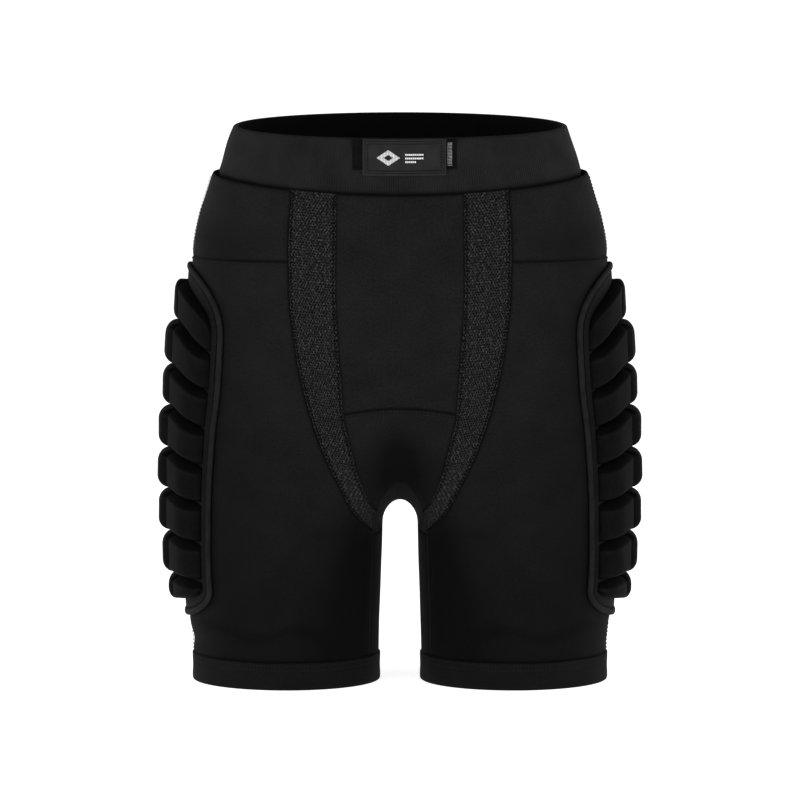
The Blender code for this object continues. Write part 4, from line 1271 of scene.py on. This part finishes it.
def hook_bristles(thread):
    """Columns of tiny shiny hooks that show at the strip's bare end, pale in colour partly as a
    painted highlight for their glints.
    """
    rows = []
    share = np.linspace(1 - (STRIP_HEIGHT - HOOK_MARGIN) / band_slope(),
                        RIM_SHARE - HOOK_MARGIN / band_slope(), 30)
    for column in range(HOOK_COLUMNS):
        point, normal = band_surface(np.full(30, TAB_RIGHT + HOOK_START + column), share)
        rows.append((point + normal * (BAND_CROWN + 1.0), normal))
    stitches("hook_bristles", rows, thread, SHORTS, HOOK_STITCH)


# ---------------------------------------------------------------- materials

WAVE_TURN = 0.31416
DULL = (0.92, 0.74)


def new_skin(name, specular, sheen, sheen_rough):
    material = bpy.data.materials.new(name)
    material.use_nodes = True
    tree = material.node_tree
    shader = next(node for node in tree.nodes if node.type == "BSDF_PRINCIPLED")
    shader.inputs["Specular IOR Level"].default_value = specular
    shader.inputs["Sheen Weight"].default_value = sheen
    shader.inputs["Sheen Roughness"].default_value = sheen_rough
    return material, tree, shader


def cloth_place(tree, flat):
    """Coordinates in metres: across the cloth where the piece is laid out flat, or else in space."""
    if flat:
        node = tree.nodes.new("ShaderNodeUVMap")
        node.uv_map = "cloth"
        return node.outputs["UV"]
    return tree.nodes.new("ShaderNodeTexCoord").outputs["Object"]


def add_node(tree, kind, values, socket, source):
    """A node with the given input values, fed by source at a socket."""
    node = tree.nodes.new(kind)
    for name, value in values.items():
        node.inputs[name].default_value = value
    tree.links.new(source, node.inputs[socket])
    return node


def spread(tree, value, source=(0.0, 1.0), target=(0.0, 1.0)):
    """Maps a value in a straight line from the source range to the target range."""
    values = dict(zip(("From Min", "From Max", "To Min", "To Max"), (*source, *target)))
    return add_node(tree, "ShaderNodeMapRange", values, "Value", value).outputs["Result"]


def noise(tree, place, size, detail=3.0, lowest=0.3, highest=0.7):
    """Noise whose blotches are about size millimetres across, stretched to run from 0 to 1."""
    values = {"Scale": 1 / (size * MM), "Detail": detail}
    node = add_node(tree, "ShaderNodeTexNoise", values, "Vector", place)
    return spread(tree, node.outputs["Fac"], (lowest, highest))


def ribs(tree, place, pitch, direction, wander=0.6):
    """Parallel threads pitch millimetres apart, a little uneven."""
    values = {"Scale": WAVE_TURN / (pitch * MM), "Distortion": wander, "Detail": 1.0,
              "Detail Scale": 1.5}
    node = add_node(tree, "ShaderNodeTexWave", values, "Vector", place)
    node.bands_direction = direction
    return node.outputs["Fac"]


def crest_of(tree):
    node = tree.nodes.new("ShaderNodeAttribute")
    node.attribute_name = "crest"
    return node.outputs["Fac"]


def combine(tree, operation, a, b):
    node = tree.nodes.new("ShaderNodeMath")
    node.operation = operation
    for socket, value in zip(node.inputs, (a, b)):
        if isinstance(value, (int, float)):
            socket.default_value = value
        else:
            tree.links.new(value, socket)
    return node.outputs["Value"]


def unshaded(tree):
    """1 less the crest attribute, which holds the painted shade of a cloth and the holes of the net.
    """
    return combine(tree, "SUBTRACT", 1.0, crest_of(tree))


def weighted(tree, terms):
    """The sum of (value, weight) pairs."""
    total = None
    for value, weight in terms:
        scaled = combine(tree, "MULTIPLY", value, weight)
        total = scaled if total is None else combine(tree, "ADD", total, scaled)
    return total


def blend_greys(tree, factor, low, high):
    node = tree.nodes.new("ShaderNodeMix")
    node.data_type = "RGBA"
    colours = [socket for socket in node.inputs if socket.type == "RGBA"]
    for socket, value in zip(colours, (low, high)):
        socket.default_value = (value, value, value, 1.0)
    tree.links.new(factor, next(socket for socket in node.inputs if socket.name == "Factor"))
    return next(socket for socket in node.outputs if socket.type == "RGBA")


def join(tree, shader, tone, greys, rough, height, relief):
    """Drives the grey and the roughness from the tone, 0 to 1, and the bump from the height."""
    tree.links.new(blend_greys(tree, tone, *greys), shader.inputs["Base Color"])
    tree.links.new(spread(tree, tone, target=rough), shader.inputs["Roughness"])
    values = {"Strength": 1.0, "Distance": relief * MM}
    bump = add_node(tree, "ShaderNodeBump", values, "Height", height)
    tree.links.new(bump.outputs["Normal"], shader.inputs["Normal"])


def knit_skin(name, low, high, pitch, relief, flat=True):
    """A close knit: fine wales crossed by courses, with faint unevenness in tone, and painted shade
    from the crest attribute in folds and along seams.
    """
    material, tree, shader = new_skin(name, 0.07, 0.004, 0.45)
    place = cloth_place(tree, flat)
    wales = ribs(tree, place, pitch, "X")
    courses = ribs(tree, place, pitch * 0.8, "Y" if flat else "Z")
    loops = combine(tree, "MULTIPLY", wales, courses)
    cloud = noise(tree, place, 34.0)
    fuzz = noise(tree, place, 1.6, 4.0)
    tone = weighted(tree, [(cloud, 0.20), (fuzz, 0.40), (loops, 0.40)])
    # Painted shade from the crest attribute darkens the knit's colour.
    tone = combine(tree, "MULTIPLY", tone, unshaded(tree))
    height = weighted(tree, [(loops, 0.6), (fuzz, 0.4)])
    join(tree, shader, tone, (low, high), DULL, height, relief)
    return material


def band_skin():
    """The waistband's heavier rib knit, with ribs that run up the band."""
    material, tree, shader = new_skin("waistband_rib_knit", 0.07, 0.004, 0.45)
    place = cloth_place(tree, True)
    wales = ribs(tree, place, 1.9, "X", 0.9)
    fine = ribs(tree, place, 0.8, "Y", 0.9)
    cloud = noise(tree, place, 26.0)
    fuzz = noise(tree, place, 1.3, 4.0)
    tone = weighted(tree, [(cloud, 0.30), (fuzz, 0.26), (wales, 0.30), (fine, 0.14)])
    # Painted shade from the crest attribute darkens the inner face and the foot of the band.
    tone = combine(tree, "MULTIPLY", tone, unshaded(tree))
    height = weighted(tree, [(wales, 0.55), (fine, 0.2), (fuzz, 0.25)])
    join(tree, shader, tone, (0.0010, 0.0128), DULL, height, 0.30)
    return material


def net_skin():
    """Open mesh: pale shiny threads round dark holes, uneven from loop to loop."""
    material, tree, shader = new_skin("open_mesh_net", 0.08, 0.003, 0.4)
    place = cloth_place(tree, True)
    speck = noise(tree, place, 1.9, 2.0, 0.48, 0.70)
    strand = ribs(tree, place, 0.55, "X", 1.5)
    light = weighted(tree, [(speck, 0.72), (strand, 0.28)])
    tone = combine(tree, "MULTIPLY", unshaded(tree), light)
    height = weighted(tree, [(strand, 0.6), (speck, 0.4)])
    join(tree, shader, tone, (0.0002, 0.068), (0.92, 0.72), height, 0.25)
    return material


def cover_skin():
    """The smooth cover of the foam blocks, with painted highlights along its edges and painted shade
    under its upper edges, from the crest attribute.
    """
    material, tree, shader = new_skin("foam_cover_knit", 0.05, 0.002, 0.4)
    place = cloth_place(tree, False)
    cloud = noise(tree, place, 18.0)
    grain = noise(tree, place, 0.9, 5.0)
    speck = noise(tree, place, 2.6, 3.0, 0.4, 0.75)
    tone = weighted(tree, [(cloud, 0.16), (grain, 0.36), (speck, 0.16), (crest_of(tree), 0.38)])
    tone = combine(tree, "MAXIMUM", tone, 0.0)
    height = weighted(tree, [(grain, 0.7), (speck, 0.3)])
    join(tree, shader, tone, (0.0004, 0.0056), (0.92, 0.80), height, 0.16)
    return material


def plain_skin(name, low, high, rough, specular, grain=0.5, relief=0.08, sheen=0.0, strand=0.0):
    """Thread, cord and tape: fine grain over a slow change in tone."""
    material, tree, shader = new_skin(name, specular, sheen, 0.4)
    place = cloth_place(tree, False)
    cloud = noise(tree, place, 9.0)
    fine = noise(tree, place, grain, 3.0)
    terms = [(cloud, 0.4), (fine, 0.6 - strand)]
    if strand:
        terms.append((ribs(tree, place, 1.1, "DIAGONAL", 1.0), strand))
    tone = weighted(tree, terms)
    join(tree, shader, tone, (low, high), rough, fine, relief)
    return material


def label_skin():
    """Satin label cloth: a fine twill that catches the light, paler along its turned hem."""
    material, tree, shader = new_skin("label_satin", 0.14, 0.006, 0.35)
    place = cloth_place(tree, True)
    twill = ribs(tree, place, 0.7, "DIAGONAL", 0.4)
    weft = ribs(tree, place, 0.45, "X", 0.4)
    cloud = noise(tree, place, 11.0)
    tone = weighted(tree, [(twill, 0.26), (weft, 0.20), (cloud, 0.34), (crest_of(tree), 0.20)])
    height = weighted(tree, [(twill, 0.6), (weft, 0.4)])
    join(tree, shader, tone, (0.004, 0.0150), (0.82, 0.64), height, 0.14)
    return material


def floor_skin():
    material, tree, shader = new_skin("studio_floor", 0.1, 0.0, 0.5)
    place = cloth_place(tree, False)
    join(tree, shader, noise(tree, place, 900.0), (0.86, 0.90), (0.9, 0.8),
         noise(tree, place, 4.0), 0.01)
    shader.inputs["Emission Color"].default_value = (1.0, 1.0, 1.0, 1.0)
    shader.inputs["Emission Strength"].default_value = 0.8
    return material


def make_skins():
    return {
        "knit": knit_skin("stretch_knit", 0.0006, 0.0112, 0.95, 0.22),
        "band_knit": band_skin(),
        "open_mesh": net_skin(),
        "pad_cover": cover_skin(),
        "pad_backing": knit_skin("flange_knit", 0.0012, 0.0075, 0.9, 0.15, flat=False),
        "piping": plain_skin("rolled_edge_knit", 0.0020, 0.0105, (0.92, 0.76), 0.07, 0.9, 0.14, 0.004,
                             0.2),
        "thread": plain_skin("seam_thread", 0.0025, 0.0120, (0.88, 0.72), 0.09),
        "dark_thread": plain_skin("net_edge_thread", 0.0006, 0.0020, (0.90, 0.80), 0.05),
        "label_thread": plain_skin("label_thread", 0.0004, 0.0020, (0.90, 0.78), 0.05),
        "loop_tape": plain_skin("loop_tape", 0.0010, 0.0048, (0.94, 0.84), 0.06, 0.8, 0.35, 0.003),
        "hook_tape": plain_skin("hook_tape", 0.022, 0.16, (0.45, 0.22), 0.6, 0.8, 0.3),
        # Glossy hook ends whose pale colour is partly a painted highlight standing in for their
        # glints.
        "hook_ends": plain_skin("hook_fibre_ends", 0.12, 0.60, (0.45, 0.25), 0.6, 0.5, 0.1),
        "label_cloth": label_skin(),
        "mark": plain_skin("woven_mark_thread", 0.55, 0.82, (0.7, 0.5), 0.35),
        "elastic": knit_skin("elastic_webbing", 0.05, 0.16, 1.4, 0.3, flat=False),
    }


# ---------------------------------------------------------------- camera, light and floor

VIEW_ELEVATION = math.radians(7.2)
VIEW_DISTANCE = 25.0
VIEW_TARGET_HEIGHT = 0.2314
VIEW_SPAN = 0.6608
SENSOR = 36.0
LIGHT_TARGET_HEIGHT = 0.24
SOFTBOXES = (
    ("left_key", (-1.5, -2.0, 0.7), (1.6, 1.4), 34.0),
    ("right_key", (1.6, -2.0, 0.6), (1.6, 1.4), 30.0),
    ("left_rim", (-2.0, 0.7, 0.6), (0.9, 1.2), 9.0),
    ("right_rim", (2.0, 0.7, 0.6), (0.9, 1.2), 9.0),
)
WORLD_HEIGHTS = (0.05, 0.75)
WORLD_STRENGTHS = (0.95, 0.25)
FLOOR_HALF = 16.0


def aim(thing, place, target):
    thing.location = place
    thing.rotation_euler = (Vector(target) - Vector(place)).to_track_quat("-Z", "Y").to_euler()


def camera():
    target = Vector((0.0, BODY_Y * MM, VIEW_TARGET_HEIGHT))
    away = Vector((0.0, -math.cos(VIEW_ELEVATION), math.sin(VIEW_ELEVATION)))
    data = bpy.data.cameras.new("camera")
    data.sensor_width = SENSOR
    data.lens = VIEW_DISTANCE * SENSOR / VIEW_SPAN
    data.clip_end = 200.0
    made = add_object("camera", data)
    aim(made, target + away * VIEW_DISTANCE, target)
    bpy.context.scene.camera = made


def softbox(name, place, size, power):
    data = bpy.data.lights.new(name, "AREA")
    data.shape = "RECTANGLE"
    data.size, data.size_y = size
    data.energy = power
    aim(add_object(name, data), place, (0.0, BODY_Y * MM, LIGHT_TARGET_HEIGHT))


def surroundings():
    """White light from all round, weaker from high above."""
    world = bpy.data.worlds.new("studio")
    world.use_nodes = True
    tree = world.node_tree
    place = tree.nodes.new("ShaderNodeTexCoord").outputs["Generated"]
    split = tree.nodes.new("ShaderNodeSeparateXYZ")
    tree.links.new(place, split.inputs["Vector"])
    fade = spread(tree, split.outputs["Z"], WORLD_HEIGHTS, WORLD_STRENGTHS)
    tree.links.new(fade, tree.nodes["Background"].inputs["Strength"])
    tree.nodes["Background"].inputs["Color"].default_value = (1.0, 1.0, 1.0, 1.0)
    bpy.context.scene.world = world
    bpy.context.scene.view_settings.view_transform = "Standard"


def studio():
    for light in SOFTBOXES:
        softbox(*light)
    surroundings()
    corners = [(x * FLOOR_HALF, y * FLOOR_HALF, 0.0) for x, y in ((-1, -1), (1, -1), (1, 1), (-1, 1))]
    mesh = bpy.data.meshes.new("floor")
    mesh.from_pydata(corners, [], [(0, 1, 2, 3)])
    mesh.materials.append(floor_skin())
    add_object("floor", mesh)


skins = make_skins()
panels(skins["knit"])
inner_cloth(skins["knit"])
mesh_inserts(skins["open_mesh"])
hem_bands(skins["knit"])
waistband(skins["band_knit"])
body_stitching(skins)
build_pad(HIP, skins, SIDES)
build_pad(SEAT, skins, CENTRE)
closure(skins)
elastic = bpy.data.objects["waistband_elastic"]
elastic.data.materials.clear()
elastic.data.materials.append(skins["elastic"])
camera()
studio()
